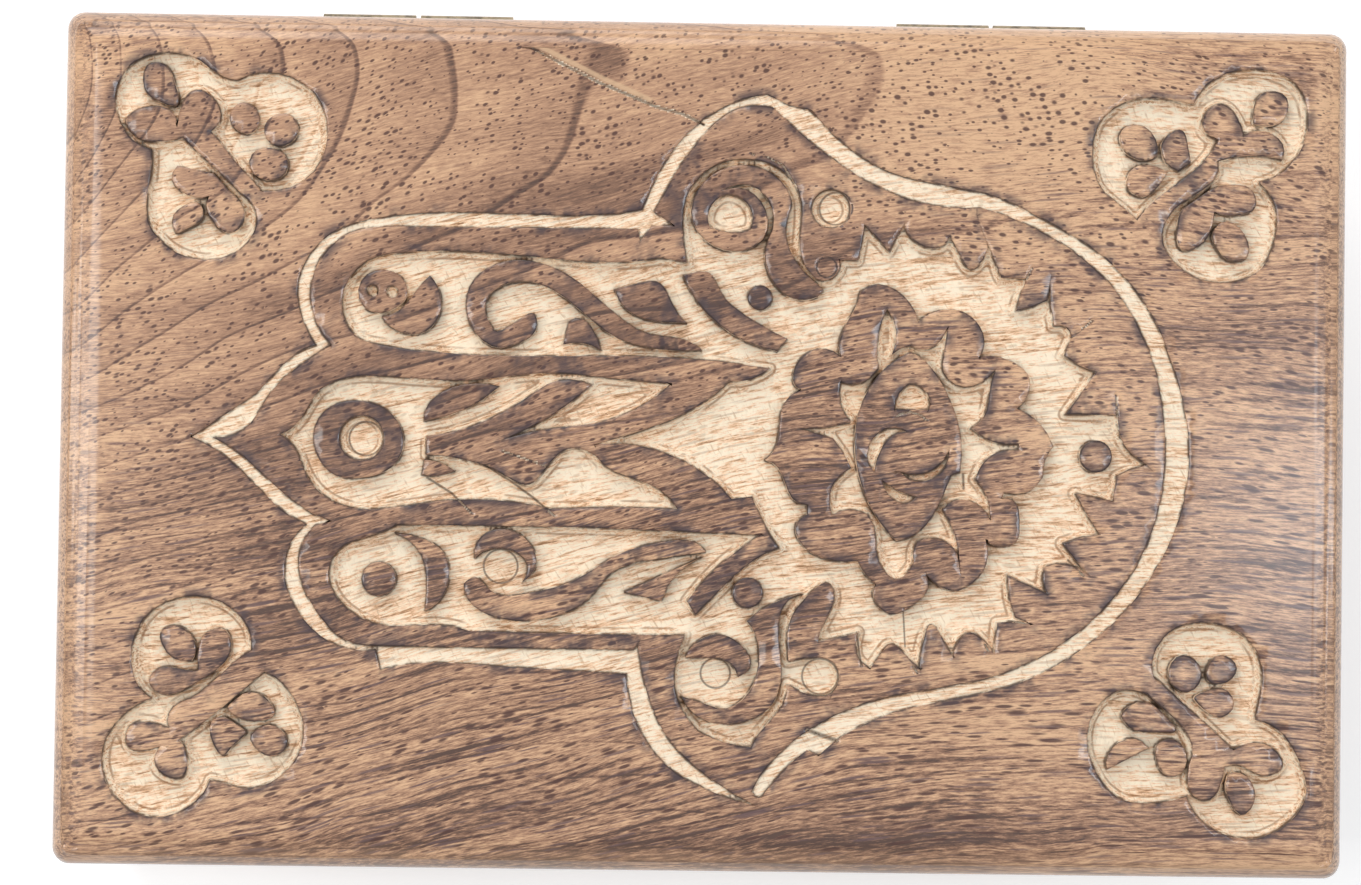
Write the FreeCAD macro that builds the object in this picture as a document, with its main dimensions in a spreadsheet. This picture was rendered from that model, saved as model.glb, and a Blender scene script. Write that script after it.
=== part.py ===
"""Wooden keepsake box with a carved lid on two brass butt hinges.

The document is drawn in millimetres, +Z up and +X along the box, with the
origin at the centre of the underside. The hinges are on the +Y side. Every
driving size is a named cell of the sheet "sizes", and each piece is bound to
those cells by expressions. The carved outlines are drawn on a lid of
art_length by art_depth: the hand stays in the middle of the lid and the four
corner motifs keep their distance from the corners.

Outlines are written as stretches. Each stretch starts where the one before it
ended, runs smoothly through its points and ends at a sharp corner. An outline
of a single stretch is a smooth loop without any corner.
"""

import FreeCAD, Part
import os
import re

import Sketcher
from FreeCAD import Placement, Rotation, Vector


# Driving sizes in millimetres

SIZES = {
    "box_length": 152.0,
    "box_depth": 100.5,
    "base_height": 40.0,
    "lid_gap": 0.2,
    "rail_height": 11.8,
    "panel_height": 12.0,
    "wall": 9.0,
    "plan_round": 2.0,
    "top_round": 4.3,
    "foot_round": 0.8,
    "rebate_depth": 4.5,
    "floor_height": 4.0,
    "floor_play": 0.2,
    "ground_depth": 1.4,
    "groove_depth": 1.0,
    "art_length": 152.0,
    "art_depth": 100.5,
    "hinge_spread": 71.0,
    "leaf_length": 23.4,
    "leaf_width": 7.0,
    "leaf_height": 0.8,
    "knuckle_gap": 0.6,
    "knuckle_radius": 1.35,
    "bore_radius": 0.65,
    "pin_radius": 0.6,
    "pin_head": 0.4,
    "pin_head_radius": 0.95,
    "pin_play": 0.1,
    "axis_out": 1.8,
    "screw_spread": 14.0,
    "screw_inset": 3.6,
    "screw_length": 6.0,
    "screw_tip": 1.2,
    "screw_head": 1.3,
    "screw_shank": 0.65,
    "screw_sink": 0.65,
    "screw_play": 0.05,
    "slot_width": 0.4,
    "slot_depth": 0.25,
}

# Heights and places that follow from the driving sizes

DERIVED = {
    "lid_base": "=base_height + lid_gap",
    "panel_base": "=lid_base + rail_height",
    "box_height": "=panel_base + panel_height",
    "axis_y": "=box_depth / 2 + axis_out",
    "axis_z": "=base_height + lid_gap / 2",
    "screw_y": "=box_depth / 2 - screw_inset",
    "knuckle_length": "=(leaf_length - knuckle_gap) / 2",
}


# The hand: a groove all round it, worked from the tip of the middle finger

HAND_GROOVE = (
    ((-57.4, 2.0), (-54.0, 4.0), (-51.7, 6.3), (-49.0, 9.2), (-45.8, 11.0)),
    ((-47.6, 14.4), (-48.1, 17.6), (-46.9, 21.4), (-43.6, 24.5), (-38.1, 26.2),
     (-26.4, 26.9), (-7.8, 27.5)),
    ((-6.1, 31.6), (-3.0, 36.2), (1.2, 39.6), (6.7, 41.3)),
    ((8.7, 40.4), (11.8, 39.6)),
    ((15.0, 36.4), (20.0, 33.0), (27.0, 31.1), (33.5, 29.8), (40.0, 26.9),
     (46.0, 23.3), (51.7, 17.2), (55.2, 9.5), (57.0, -1.5), (54.6, -11.2),
     (47.4, -21.1), (36.5, -27.7), (25.0, -30.4), (18.5, -32.8), (13.8, -36.2)),
    ((12.4, -35.6),),
    ((9.6, -38.1), (7.6, -40.6)),
    ((6.8, -41.3), (6.0, -40.6)),
    ((8.3, -37.0), (13.4, -32.8), (20.6, -29.6), (33.0, -27.1), (42.5, -22.7),
     (49.5, -15.8), (53.1, -8.5), (54.2, 1.0), (52.6, 10.7), (47.0, 20.2),
     (37.0, 26.8), (32.0, 28.5)),
    ((25.5, 28.8), (16.9, 32.3), (11.1, 36.6), (7.4, 39.9)),
    ((3.2, 39.6), (-1.3, 35.8), (-4.6, 30.8), (-6.4, 27.3)),
    ((-4.2, 25.8),),
    ((-6.7, 25.6),),
    ((-8.0, 23.8),),
    ((-8.3, 25.3),),
    ((-16.9, 25.2), (-27.0, 24.9), (-37.0, 25.1), (-42.6, 24.0), (-46.2, 19.6),
     (-46.3, 15.0), (-44.1, 11.1)),
    ((-48.6, 7.9), (-51.0, 5.4), (-52.4, 3.0), (-57.7, 0.0)),
    ((-53.6, -2.6), (-50.5, -5.4), (-46.7, -8.3), (-43.8, -9.6)),
    ((-45.5, -10.1),),
    ((-47.1, -12.4), (-47.3, -15.6), (-45.6, -19.7), (-42.5, -23.1), (-39.6, -24.1)),
    ((-8.2, -24.2),),
    ((-7.6, -23.6),),
    ((-6.4, -29.4), (-3.9, -34.5), (0.2, -38.5), (6.4, -42.2)),
    ((-0.6, -39.8), (-4.8, -36.9), (-7.6, -32.6), (-8.9, -27.0)),
    ((-18.8, -26.5), (-29.4, -26.0)),
    ((-32.4, -26.0), (-37.7, -26.9)),
    ((-38.2, -24.5),),
    ((-43.0, -24.0), (-46.8, -21.0), (-49.0, -16.0), (-48.4, -12.3), (-46.6, -10.0)),
    ((-49.8, -8.1), (-54.0, -4.1), (-60.1, 0.0)),
)

# The ground of the fingers, thumbs, wrist and sun, as one cleared area

HAND_GROUND = (
    ((-41.8, 12.8), (-42.9, 15.6), (-42.2, 18.6), (-39.7, 21.2), (-36.4, 22.0),
     (-24.0, 22.1), (-5.4, 21.9)),
    ((-2.5, 21.4),),
    ((-2.9, 24.0), (-2.9, 28.0), (-1.5, 31.1), (1.8, 33.4), (5.6, 33.6), (9.0, 32.1),
     (10.9, 29.0), (10.8, 24.3), (12.3, 20.1)),
    ((14.2, 19.6), (15.4, 20.6), (15.5, 22.0)),
    ((17.7, 22.0),),
    ((18.1, 24.0), (18.4, 26.2)),
    ((19.9, 24.6), (21.4, 23.1)),
    ((22.2, 24.8), (23.1, 26.2)),
    ((24.6, 24.1), (27.2, 23.6), (28.5, 24.9)),
    ((29.6, 22.9), (31.1, 21.1), (32.2, 21.9), (32.8, 24.5)),
    ((34.6, 20.2),),
    ((37.6, 20.1),),
    ((36.9, 18.2), (36.4, 16.3)),
    ((38.4, 16.8), (40.1, 17.6)),
    ((40.4, 19.5),),
    ((40.5, 16.6), (40.9, 14.6)),
    ((42.2, 14.5), (43.0, 13.3)),
    ((42.1, 11.1),),
    ((43.9, 10.0), (45.9, 9.2)),
    ((44.3, 7.0), (42.4, 4.2)),
    ((48.4, 4.2),),
    ((48.8, 1.8), (51.9, -1.6)),
    ((50.4, -2.1), (48.5, -3.0)),
    ((48.0, -5.9),),
    ((43.7, -5.1),),
    ((45.0, -7.5), (46.6, -9.9)),
    ((44.3, -10.3), (42.2, -11.0)),
    ((43.5, -12.7), (45.1, -14.5)),
    ((42.6, -13.4), (40.1, -13.8)),
    ((39.9, -15.4), (40.4, -16.9)),
    ((38.1, -15.9), (35.8, -14.9)),
    ((36.0, -17.5), (36.7, -19.8)),
    ((38.3, -20.4),),
    ((36.4, -20.2), (34.6, -20.4)),
    ((34.3, -24.0),),
    ((33.0, -22.5), (31.3, -21.6), (30.2, -22.4), (29.4, -24.4)),
    ((28.2, -22.3), (26.8, -20.7), (26.0, -22.3), (25.5, -25.9)),
    ((23.8, -24.2), (22.1, -23.1), (20.9, -24.3), (19.7, -26.0)),
    ((18.5, -25.1), (18.3, -21.8)),
    ((16.0, -22.4), (13.6, -22.9)),
    ((14.6, -20.0), (15.3, -16.9), (14.6, -16.0), (12.9, -16.9), (10.6, -19.6),
     (9.9, -23.2)),
    ((10.1, -25.3),),
    ((13.0, -24.8), (15.4, -25.4), (16.1, -27.2), (15.2, -29.0), (12.9, -29.2),
     (10.0, -28.0)),
    ((9.4, -30.5), (7.2, -33.2), (5.8, -35.4)),
    ((2.2, -34.7), (-0.4, -33.6)),
    ((-2.3, -31.1), (-3.3, -27.9), (-2.9, -24.6), (-2.1, -22.4)),
    ((-15.0, -22.4), (-27.4, -22.2)),
    ((-33.0, -21.6), (-38.4, -21.5), (-42.2, -19.3), (-43.9, -15.4), (-42.9, -13.1),
     (-39.2, -11.3), (-36.0, -9.9)),
    ((-14.0, -9.9),),
    ((6.6, -10.5),),
    ((4.0, -12.3), (1.0, -14.9), (-1.9, -18.4)),
    ((-0.9, -20.0),),
    ((1.4, -17.6), (4.6, -14.5), (8.8, -12.0)),
    ((7.0, -9.2), (5.6, -6.0)),
    ((3.2, -6.3),),
    ((-0.8, -2.9), (-5.4, -0.8), (-12.6, -0.1)),
    ((-7.0, 1.7), (-2.3, 3.7), (2.7, 7.5)),
    ((5.4, 7.8), (7.5, 9.1)),
    ((3.5, 9.6), (-2.0, 10.1), (-20.0, 10.1), (-40.0, 11.5)),
)

# The ground of the middle finger

FINGER_GROUND = (
    ((-47.2, 2.7), (-45.5, 5.5), (-42.6, 7.1), (-36.0, 7.4), (-27.0, 7.2), (-19.6, 8.1),
     (-12.0, 7.7), (-4.2, 7.1)),
    ((-7.4, 4.5), (-13.0, 2.3), (-18.2, 1.6), (-23.0, 0.5)),
    ((-18.0, 3.2), (-13.4, 6.8)),
    ((-18.9, 6.7), (-21.8, 4.7), (-26.6, 2.1), (-32.7, 0.5)),
    ((-32.7, -1.7),),
    ((-28.6, -2.1), (-24.1, -3.6), (-20.6, -5.0), (-18.4, -2.7), (-12.9, -1.5)),
    ((-11.0, -3.1), (-7.2, -4.5), (-3.2, -7.6)),
    ((-11.0, -7.5), (-18.2, -7.8)),
    ((-22.6, -7.0), (-33.0, -7.3), (-42.8, -7.6), (-46.4, -4.7), (-48.0, -1.2),
     (-49.8, 0.5)),
)

# What is left standing in the ground of the upper finger

SPIRAL_LEAF = (
    ((-27.6, 18.8), (-24.8, 20.9), (-20.7, 21.3), (-16.3, 19.7), (-11.9, 16.2), (-7.0, 13.0),
     (-2.3, 12.2), (-0.5, 11.1)),
    ((-6.0, 11.2), (-10.8, 12.5), (-15.7, 16.2), (-18.7, 18.2), (-22.6, 18.8),
     (-25.4, 17.4), (-25.0, 13.1)),
    ((-22.4, 14.1), (-20.3, 15.1), (-20.0, 13.4), (-22.0, 11.6), (-24.6, 11.0),
     (-27.3, 12.9), (-28.3, 16.0)),
)
UPPER_COMMA = (
    ((-31.3, 17.0), (-31.4, 14.8), (-33.4, 12.6), (-36.0, 12.7), (-38.2, 14.5)),
    ((-35.4, 15.9), (-34.0, 17.8), (-32.6, 19.4)),
)
UPPER_WEDGE = (
    ((-14.8, 14.6), (-13.3, 13.3), (-12.4, 10.9)),
    ((-14.6, 11.7), (-16.9, 11.5)),
    ((-16.6, 12.9), (-16.2, 14.3)),
)
UPPER_LEAF = (
    ((-8.4, 18.8), (-5.7, 19.0), (-4.3, 17.0), (-2.3, 14.3)),
    ((-6.0, 14.4), (-9.2, 15.5), (-10.9, 18.1)),
)
UPPER_BAR = (
    ((-1.4, 20.3), (0.0, 20.3), (1.6, 18.0), (5.0, 15.0), (9.5, 12.6)),
    ((8.3, 11.1),),
    ((3.4, 12.8), (0.2, 15.2), (-2.9, 19.9)),
)
UPPER_EYE_LOOP = (
    ((-35.2, 17.3), (-36.1, 19.3), (-38.2, 20.0), (-40.2, 19.2), (-41.0, 17.3),
     (-40.1, 15.4), (-38.3, 14.9), (-36.4, 15.6)),
)

# What is left standing in the ground of the lower finger

LOWER_CRESCENT = (
    ((-33.2, -11.4), (-30.4, -13.2), (-29.8, -16.1), (-32.6, -20.0)),
    ((-32.4, -17.4), (-33.0, -13.7), (-36.2, -10.9)),
)
LOWER_CURL = (
    ((-26.2, -11.2), (-24.1, -10.2), (-21.6, -10.8), (-19.7, -13.2), (-21.3, -16.5)),
    ((-21.0, -13.7), (-23.6, -12.5), (-26.8, -13.7)),
)
LOWER_SCROLL = (
    ((-26.4, -16.0), (-25.0, -17.4), (-20.4, -17.7), (-15.3, -16.2), (-10.4, -13.2),
     (-4.6, -11.4), (-1.2, -11.4), (0.3, -12.6)),
    ((-4.2, -13.3), (-11.2, -15.6), (-13.2, -18.1), (-18.6, -20.7), (-24.4, -20.6),
     (-27.6, -18.5), (-28.1, -16.7)),
)
LOWER_LEAF = (
    ((-8.0, -16.4), (-6.9, -14.8), (-4.0, -13.8), (-0.2, -13.2)),
    ((-2.9, -15.0), (-4.9, -18.4)),
    ((-7.0, -18.0), (-9.3, -17.4)),
)

# What is left standing in the ground of the middle finger

FINGER_EYE_LOOP = (
    ((-45.4, 2.4), (-43.3, 4.2), (-40.6, 4.6), (-37.2, 3.4), (-35.4, 0.4), (-36.4, -2.9),
     (-39.6, -4.4), (-43.6, -4.1), (-45.6, -1.6)),
)
FINGER_LEAF = (
    ((-32.9, 3.6), (-31.2, 5.6), (-29.2, 6.5), (-24.2, 6.5)),
    ((-28.3, 3.7), (-33.0, 2.3)),
)
FINGER_CHIP = (
    ((-31.0, -2.6), (-29.3, -3.5)),
    ((-31.2, -4.1), (-33.2, -4.0)),
    ((-32.9, -2.2),),
)

# The two thumbs, each rolled into a scroll

UPPER_SCROLL = (
    ((11.4, 20.5), (9.5, 23.4), (9.2, 26.3), (9.8, 28.6), (8.6, 31.1), (5.4, 32.9),
     (1.6, 32.5), (-1.3, 30.0), (-2.0, 26.8), (-0.6, 24.3), (2.7, 22.8), (6.5, 24.3)),
    ((7.0, 26.7), (5.6, 29.4), (2.0, 30.1)),
    ((6.2, 29.9), (7.7, 27.0), (7.1, 24.3)),
    ((6.9, 21.0), (9.0, 17.9), (13.0, 17.6)),
    ((13.7, 18.4),),
)
UPPER_PUPIL = (
    ((0.6, 28.5), (2.2, 29.5), (4.4, 28.6), (5.2, 26.9), (4.9, 25.4)),
    ((2.6, 25.0), (0.2, 25.6)),
)
LOWER_BODY = (
    ((0.4, -30.4), (2.8, -30.9), (5.4, -29.1), (6.6, -25.6), (6.1, -22.0), (5.1, -20.6)),
    ((7.9, -18.6), (11.7, -17.3)),
    ((9.3, -19.2), (8.9, -22.4), (9.3, -27.0), (8.3, -30.3), (4.9, -32.5), (0.9, -32.5),
     (-2.4, -29.5)),
)
LOWER_LID = (
    ((-0.9, -23.3), (1.6, -22.2), (4.4, -23.3), (5.7, -25.6), (4.2, -27.2)),
    ((2.9, -25.4), (0.4, -25.0), (-2.0, -25.0)),
)

# The flower at the wrist: its edge, the rim cleared round its eye and the eye

FLOWER_EDGE = (
    ((10.7, 9.9), (12.8, 11.4), (15.7, 10.7)),
    ((15.9, 13.4), (17.2, 15.9), (18.0, 18.3)),
    ((20.4, 19.2), (23.2, 17.8), (24.9, 14.9)),
    ((27.2, 16.2), (30.6, 15.9), (32.5, 13.7), (32.2, 10.8)),
    ((35.6, 10.5), (38.1, 8.3), (37.8, 6.2), (36.6, 4.8)),
    ((38.8, 3.6), (41.0, 0.4)),
    ((40.0, -1.4), (39.8, -3.2)),
    ((38.4, -4.8), (35.2, -5.1)),
    ((35.0, -5.8),),
    ((36.7, -6.4), (37.1, -8.8), (36.8, -10.8), (35.0, -11.5), (33.2, -10.8)),
    ((33.3, -13.4), (29.9, -16.8)),
    ((28.0, -16.4), (26.2, -14.9)),
    ((26.3, -16.8), (24.4, -18.7), (21.9, -19.6), (20.8, -18.9), (20.0, -17.6),
     (20.2, -16.2)),
    ((18.9, -14.8), (18.1, -13.4)),
    ((14.6, -13.3), (11.6, -11.7), (10.7, -9.7), (12.1, -8.0)),
    ((12.0, -6.9),),
    ((10.4, -6.3), (8.9, -3.1), (7.0, -1.7)),
    ((8.5, 0.6), (8.9, 4.2), (11.1, 6.6)),
    ((10.3, 7.4), (10.2, 8.5)),
)
FLOWER_RIM = (
    ((26.0, 11.6), (27.4, 12.5), (28.3, 14.0)),
    ((28.0, 12.0), (27.8, 10.0)),
    ((28.4, 8.2), (30.0, 7.3), (32.2, 7.7), (34.0, 9.2)),
    ((33.5, 7.6), (33.1, 4.8), (31.3, 2.4)),
    ((33.6, 0.9), (36.9, 0.6)),
    ((36.9, -0.1),),
    ((33.6, -0.8), (31.8, -3.6)),
    ((33.0, -5.2), (33.6, -8.2)),
    ((31.8, -6.4), (30.0, -6.0), (28.0, -7.2)),
    ((29.2, -9.4), (30.0, -13.4)),
    ((28.8, -11.2), (26.8, -10.6), (25.1, -11.0)),
    ((24.6, -12.2), (24.7, -13.4)),
    ((22.2, -15.3), (20.4, -12.8), (20.1, -9.9), (19.2, -7.9)),
    ((17.2, -7.4), (15.0, -8.0)),
    ((14.9, -5.0), (17.2, -2.5)),
    ((16.2, -0.6), (15.0, 1.0)),
    ((11.3, 2.0),),
    ((14.6, 2.3), (17.1, 2.9)),
    ((15.9, 4.8), (15.8, 7.5)),
    ((18.2, 7.5), (20.3, 9.3)),
    ((20.1, 12.6), (21.2, 16.3)),
    ((22.3, 13.6), (21.8, 10.9)),
    ((22.9, 11.7), (24.1, 12.0)),
)
FLOWER_EYE = (
    ((25.8, 10.2), (28.0, 7.2), (29.6, 3.5), (30.0, -2.8)),
    ((29.0, -3.2),),
    ((27.8, -6.2), (25.4, -9.8), (22.6, -11.0)),
    ((19.6, -7.2), (17.8, -2.0), (18.0, 4.2), (20.6, 8.9), (24.0, 11.3)),
)
EYE_CAP = (
    ((22.6, 6.1), (24.2, 7.5), (25.8, 6.7), (26.2, 4.5)),
    ((22.2, 4.5),),
)
EYE_LASH = (
    ((20.4, 1.7), (19.1, -0.6), (19.9, -2.9)),
    ((20.3, -1.0), (21.6, 1.1), (23.6, 1.9)),
)
EYE_FOLD = (
    ((21.5, -5.4), (23.0, -6.5), (24.9, -5.8)),
    ((23.0, -5.2), (20.9, -4.0)),
)
EYE_GLINT = (
    ((26.6, -2.7), (28.7, -0.3)),
    ((27.7, -2.9), (25.9, -3.9), (23.0, -2.9)),
)

# Round places: centre and radius

STANDING_DISCS = (
    ((-38.0, -16.3), 2.0),
    ((6.2, 17.4), 1.45),
    ((5.2, -17.3), 1.8),
    ((46.0, -0.7), 1.9),
)
SUNK_DISCS = (
    ((14.4, 28.0), 2.3),
    ((-40.3, 0.2), 2.6),
    ((-39.3, 17.5), 0.7),
    ((-37.0, 17.4), 0.7),
)

HAND_STANDING = (
    SPIRAL_LEAF, UPPER_COMMA, UPPER_WEDGE, UPPER_LEAF, UPPER_BAR, UPPER_EYE_LOOP,
    LOWER_CRESCENT, LOWER_CURL, LOWER_SCROLL, LOWER_LEAF,
    FINGER_EYE_LOOP, FINGER_LEAF, FINGER_CHIP,
    UPPER_SCROLL, UPPER_PUPIL, LOWER_BODY, LOWER_LID,
    FLOWER_EDGE, FLOWER_RIM, FLOWER_EYE, EYE_CAP, EYE_LASH, EYE_FOLD, EYE_GLINT,
)

# The corner motifs: the ground first, then the petals left standing in it

BACK_LEFT_MOTIF = (
    (
        ((-49.6, 29.3), (-46.6, 31.1), (-45.0, 34.6), (-45.3, 38.6), (-48.2, 42.0),
         (-51.8, 43.0), (-55.6, 42.0)),
        ((-58.3, 43.0), (-60.6, 44.6), (-64.0, 45.1), (-67.6, 43.9), (-69.7, 40.6),
         (-69.3, 37.0), (-65.4, 33.7)),
        ((-65.6, 30.0), (-65.8, 25.8), (-63.4, 22.3), (-58.8, 20.8), (-54.6, 22.4),
         (-53.0, 25.4), (-53.5, 27.4)),
        ((-57.4, 31.0), (-61.8, 35.1)),
        ((-64.2, 34.6), (-67.2, 35.1), (-68.5, 37.1), (-66.8, 38.5), (-62.5, 36.7)),
        ((-62.3, 37.8), (-61.8, 39.5), (-60.4, 40.8), (-58.3, 39.8), (-58.5, 35.9)),
        ((-55.4, 32.2), (-52.4, 29.0)),
    ),
    (
        ((-62.5, 39.0), (-62.8, 41.4), (-64.2, 43.8), (-65.9, 43.8), (-66.6, 41.8),
         (-65.6, 39.8)),
        ((-63.7, 38.9),),
    ),
    (
        ((-56.4, 37.4), (-56.0, 38.7), (-54.8, 39.4), (-53.2, 38.5), (-52.9, 36.9),
         (-54.0, 35.7), (-55.6, 36.2)),
    ),
    (
        ((-52.3, 36.6), (-51.2, 37.9), (-49.1, 37.9), (-48.3, 36.4), (-49.2, 34.7),
         (-51.4, 34.5)),
    ),
    (
        ((-53.7, 33.3), (-51.8, 34.1), (-49.6, 33.0), (-49.8, 31.0), (-52.0, 30.3),
         (-53.8, 31.5)),
    ),
    (
        ((-61.3, 31.3), (-59.2, 31.6), (-56.8, 29.5), (-54.9, 27.6), (-54.6, 25.2),
         (-56.0, 24.0), (-58.0, 25.1), (-58.7, 28.2)),
        ((-61.2, 28.4), (-63.0, 30.2), (-62.4, 31.8)),
    ),
    (
        ((-62.9, 25.4), (-61.6, 27.1), (-59.7, 27.4), (-59.4, 25.5), (-60.9, 24.6),
         (-62.4, 23.9)),
    ),
)
BACK_RIGHT_MOTIF = (
    (
        ((48.9, 28.8), (46.4, 30.8), (45.2, 35.0), (46.2, 39.0), (49.2, 41.3),
         (53.0, 41.7), (57.2, 41.1)),
        ((59.2, 43.8), (62.0, 45.1), (66.0, 45.2), (69.6, 43.3), (70.7, 40.4),
         (69.8, 35.6), (65.0, 32.0)),
        ((66.9, 29.2), (67.0, 25.4), (65.4, 21.8)),
        ((61.0, 20.0), (56.6, 21.1), (53.6, 25.2), (54.3, 27.6)),
        ((57.0, 30.1), (59.8, 32.4), (60.2, 34.4)),
        ((62.8, 35.0), (65.2, 35.1), (67.7, 34.7)),
        ((67.7, 36.7), (65.6, 38.0), (63.1, 37.5)),
        ((62.4, 39.5), (60.4, 41.2), (58.5, 39.9), (60.1, 36.9)),
        ((57.8, 33.7), (54.6, 31.2), (50.6, 27.2)),
    ),
    (
        ((64.4, 40.8), (66.2, 42.8), (68.1, 42.2), (67.9, 39.5), (66.2, 38.6), (64.3, 38.9)),
    ),
    (
        ((57.6, 29.8), (59.0, 30.9), (61.4, 31.6), (64.2, 31.0), (64.6, 29.0),
         (62.4, 28.0), (59.8, 28.3)),
        ((59.4, 26.4), (58.0, 24.3), (56.0, 23.8), (55.3, 25.8), (56.0, 28.7)),
    ),
    (
        ((59.8, 26.4), (61.2, 27.3), (63.2, 26.0), (63.6, 23.0), (61.6, 22.6), (60.0, 24.2)),
    ),
    (
        ((48.9, 38.1), (51.0, 38.5), (52.7, 36.9), (52.9, 34.9)),
        ((51.4, 34.3), (49.5, 35.0), (48.5, 36.6)),
    ),
    (
        ((53.9, 37.2), (55.8, 38.0), (56.5, 36.4), (56.9, 34.2)),
        ((55.4, 33.1),),
        ((53.9, 34.2), (53.4, 35.6)),
    ),
    (
        ((50.2, 33.5), (52.0, 33.8), (54.2, 33.0)),
        ((53.0, 31.2), (51.2, 30.0), (49.6, 30.8), (49.4, 32.2)),
    ),
)
FRONT_LEFT_MOTIF = (
    (
        ((-53.3, -22.0), (-56.2, -19.3), (-60.2, -18.6), (-64.4, -20.3), (-66.5, -24.0),
         (-66.3, -28.2), (-64.3, -30.6)),
        ((-68.1, -33.1), (-69.9, -36.6), (-69.3, -40.6), (-66.2, -43.8), (-62.4, -44.3),
         (-58.8, -42.4), (-57.3, -40.0)),
        ((-55.4, -40.4),),
        ((-52.4, -40.9), (-48.6, -39.0), (-46.5, -35.0), (-47.4, -30.8), (-51.2, -27.3)),
        ((-54.0, -29.8), (-57.6, -32.9), (-61.0, -35.4)),
        ((-60.0, -37.2), (-60.6, -39.8), (-62.5, -39.6), (-63.2, -36.2)),
        ((-64.6, -36.6),),
        ((-67.2, -35.3), (-66.5, -33.6), (-64.2, -33.4), (-62.2, -34.0)),
        ((-62.3, -32.6), (-60.9, -31.0)),
        ((-55.6, -27.0), (-54.4, -25.9), (-52.8, -24.8)),
    ),
    (
        ((-63.0, -22.4), (-61.4, -22.1), (-59.8, -23.1), (-59.7, -26.2)),
        ((-61.8, -25.9), (-63.2, -24.2)),
    ),
    (
        ((-57.8, -22.7), (-56.0, -22.4), (-55.1, -24.4), (-56.0, -26.5), (-58.6, -28.4),
         (-61.0, -29.8), (-63.4, -30.0), (-64.6, -28.6), (-63.4, -27.0), (-61.0, -27.1),
         (-58.9, -27.2)),
        ((-59.0, -25.8), (-58.8, -24.1)),
    ),
    (
        ((-54.4, -30.5), (-52.0, -29.8), (-50.2, -31.2), (-49.9, -32.2), (-52.4, -33.1),
         (-54.5, -32.5), (-55.4, -31.6)),
    ),
    (
        ((-56.6, -32.7), (-55.6, -32.7), (-54.4, -33.5), (-53.2, -34.3), (-54.6, -35.9),
         (-55.8, -37.2), (-57.0, -35.8)),
    ),
    (
        ((-51.4, -33.7), (-49.2, -34.0), (-48.3, -35.6), (-49.6, -37.1), (-51.8, -36.5),
         (-52.7, -34.8)),
    ),
)
FRONT_RIGHT_MOTIF = (
    (
        ((53.3, -23.4), (55.6, -20.8), (59.6, -20.1), (63.4, -21.3), (65.7, -24.5),
         (65.7, -28.7), (65.1, -31.4)),
        ((68.4, -33.1), (70.4, -36.3), (71.2, -40.2), (69.6, -43.0), (65.4, -45.3),
         (60.4, -44.4), (57.1, -40.5)),
        ((53.6, -41.3), (49.2, -40.8), (46.2, -37.4), (45.4, -32.8), (47.6, -29.0),
         (52.4, -28.6)),
        ((55.2, -31.0), (57.5, -34.0), (57.8, -35.6)),
        ((57.2, -38.2), (57.9, -40.4), (59.8, -40.9), (60.9, -39.6), (61.6, -37.0)),
        ((64.0, -37.0), (66.4, -38.0), (68.4, -36.9), (67.4, -34.8), (65.2, -34.1),
         (62.6, -34.9)),
        ((59.4, -32.2), (56.4, -29.3), (53.1, -26.4)),
    ),
    (
        ((55.2, -24.8), (56.6, -23.9), (58.3, -24.8), (58.7, -26.8), (57.0, -28.3),
         (55.4, -27.6)),
    ),
    (
        ((59.8, -24.6), (61.4, -23.9), (62.9, -25.2), (62.0, -26.9), (59.6, -27.0)),
    ),
    (
        ((60.4, -27.8), (62.1, -28.3), (62.6, -29.9), (61.0, -31.2), (59.0, -30.2),
         (57.9, -29.0)),
    ),
    (
        ((62.6, -37.6), (64.7, -38.6), (64.9, -41.6), (63.7, -42.6), (62.2, -41.0),
         (61.7, -39.2)),
    ),
    (
        ((50.2, -30.0), (52.6, -29.6), (54.5, -31.0), (55.8, -32.8), (53.2, -33.0),
         (50.4, -32.6), (49.4, -31.2)),
    ),
    (
        ((48.0, -35.4), (50.4, -33.8), (52.6, -34.9)),
        ((49.9, -36.3), (47.7, -37.5)),
    ),
    (
        ((54.0, -34.1), (56.0, -34.0), (57.1, -35.8), (56.2, -38.0), (54.7, -38.1),
         (53.5, -36.0)),
    ),
)


# Document and sheet

os.makedirs("parts", exist_ok=True)
doc = FreeCAD.newDocument("keepsake_box")
sheet = doc.addObject("Spreadsheet::Sheet", "sizes")
for row, (alias, content) in enumerate({**SIZES, **DERIVED}.items(), start=1):
    sheet.set(f"A{row}", alias)
    sheet.set(f"B{row}", str(content))
    sheet.setAlias(f"B{row}", alias)
doc.recompute()


def formula(text):
    """Return text with every cell name written as a reference to the sheet."""
    return re.sub(r"[a-z_]+", r"sizes.\g<0>", text)


def bind(feature, **formulas):
    """Bind properties to formulas; a double underscore stands for a dot."""
    for name, text in formulas.items():
        feature.setExpression(name.replace("__", "."), formula(text))


# Sketches and features of a body

def new_body(name):
    """Add an empty body, which is later written under its own name."""
    body = doc.addObject("PartDesign::Body", name)
    body.Label = name
    return body


def new_sketch(body, name, level="0", role="XY_Plane"):
    """Add a sketch to a body, on a plane of its origin raised by a formula."""
    sketch = body.newObject("Sketcher::SketchObject", name)
    plane = next(item for item in body.Origin.OriginFeatures if item.Role == role)
    sketch.AttachmentSupport = [(plane, "")]
    sketch.MapMode = "FlatFace"
    bind(sketch, AttachmentOffset__Base__z=level)
    return sketch


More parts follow.
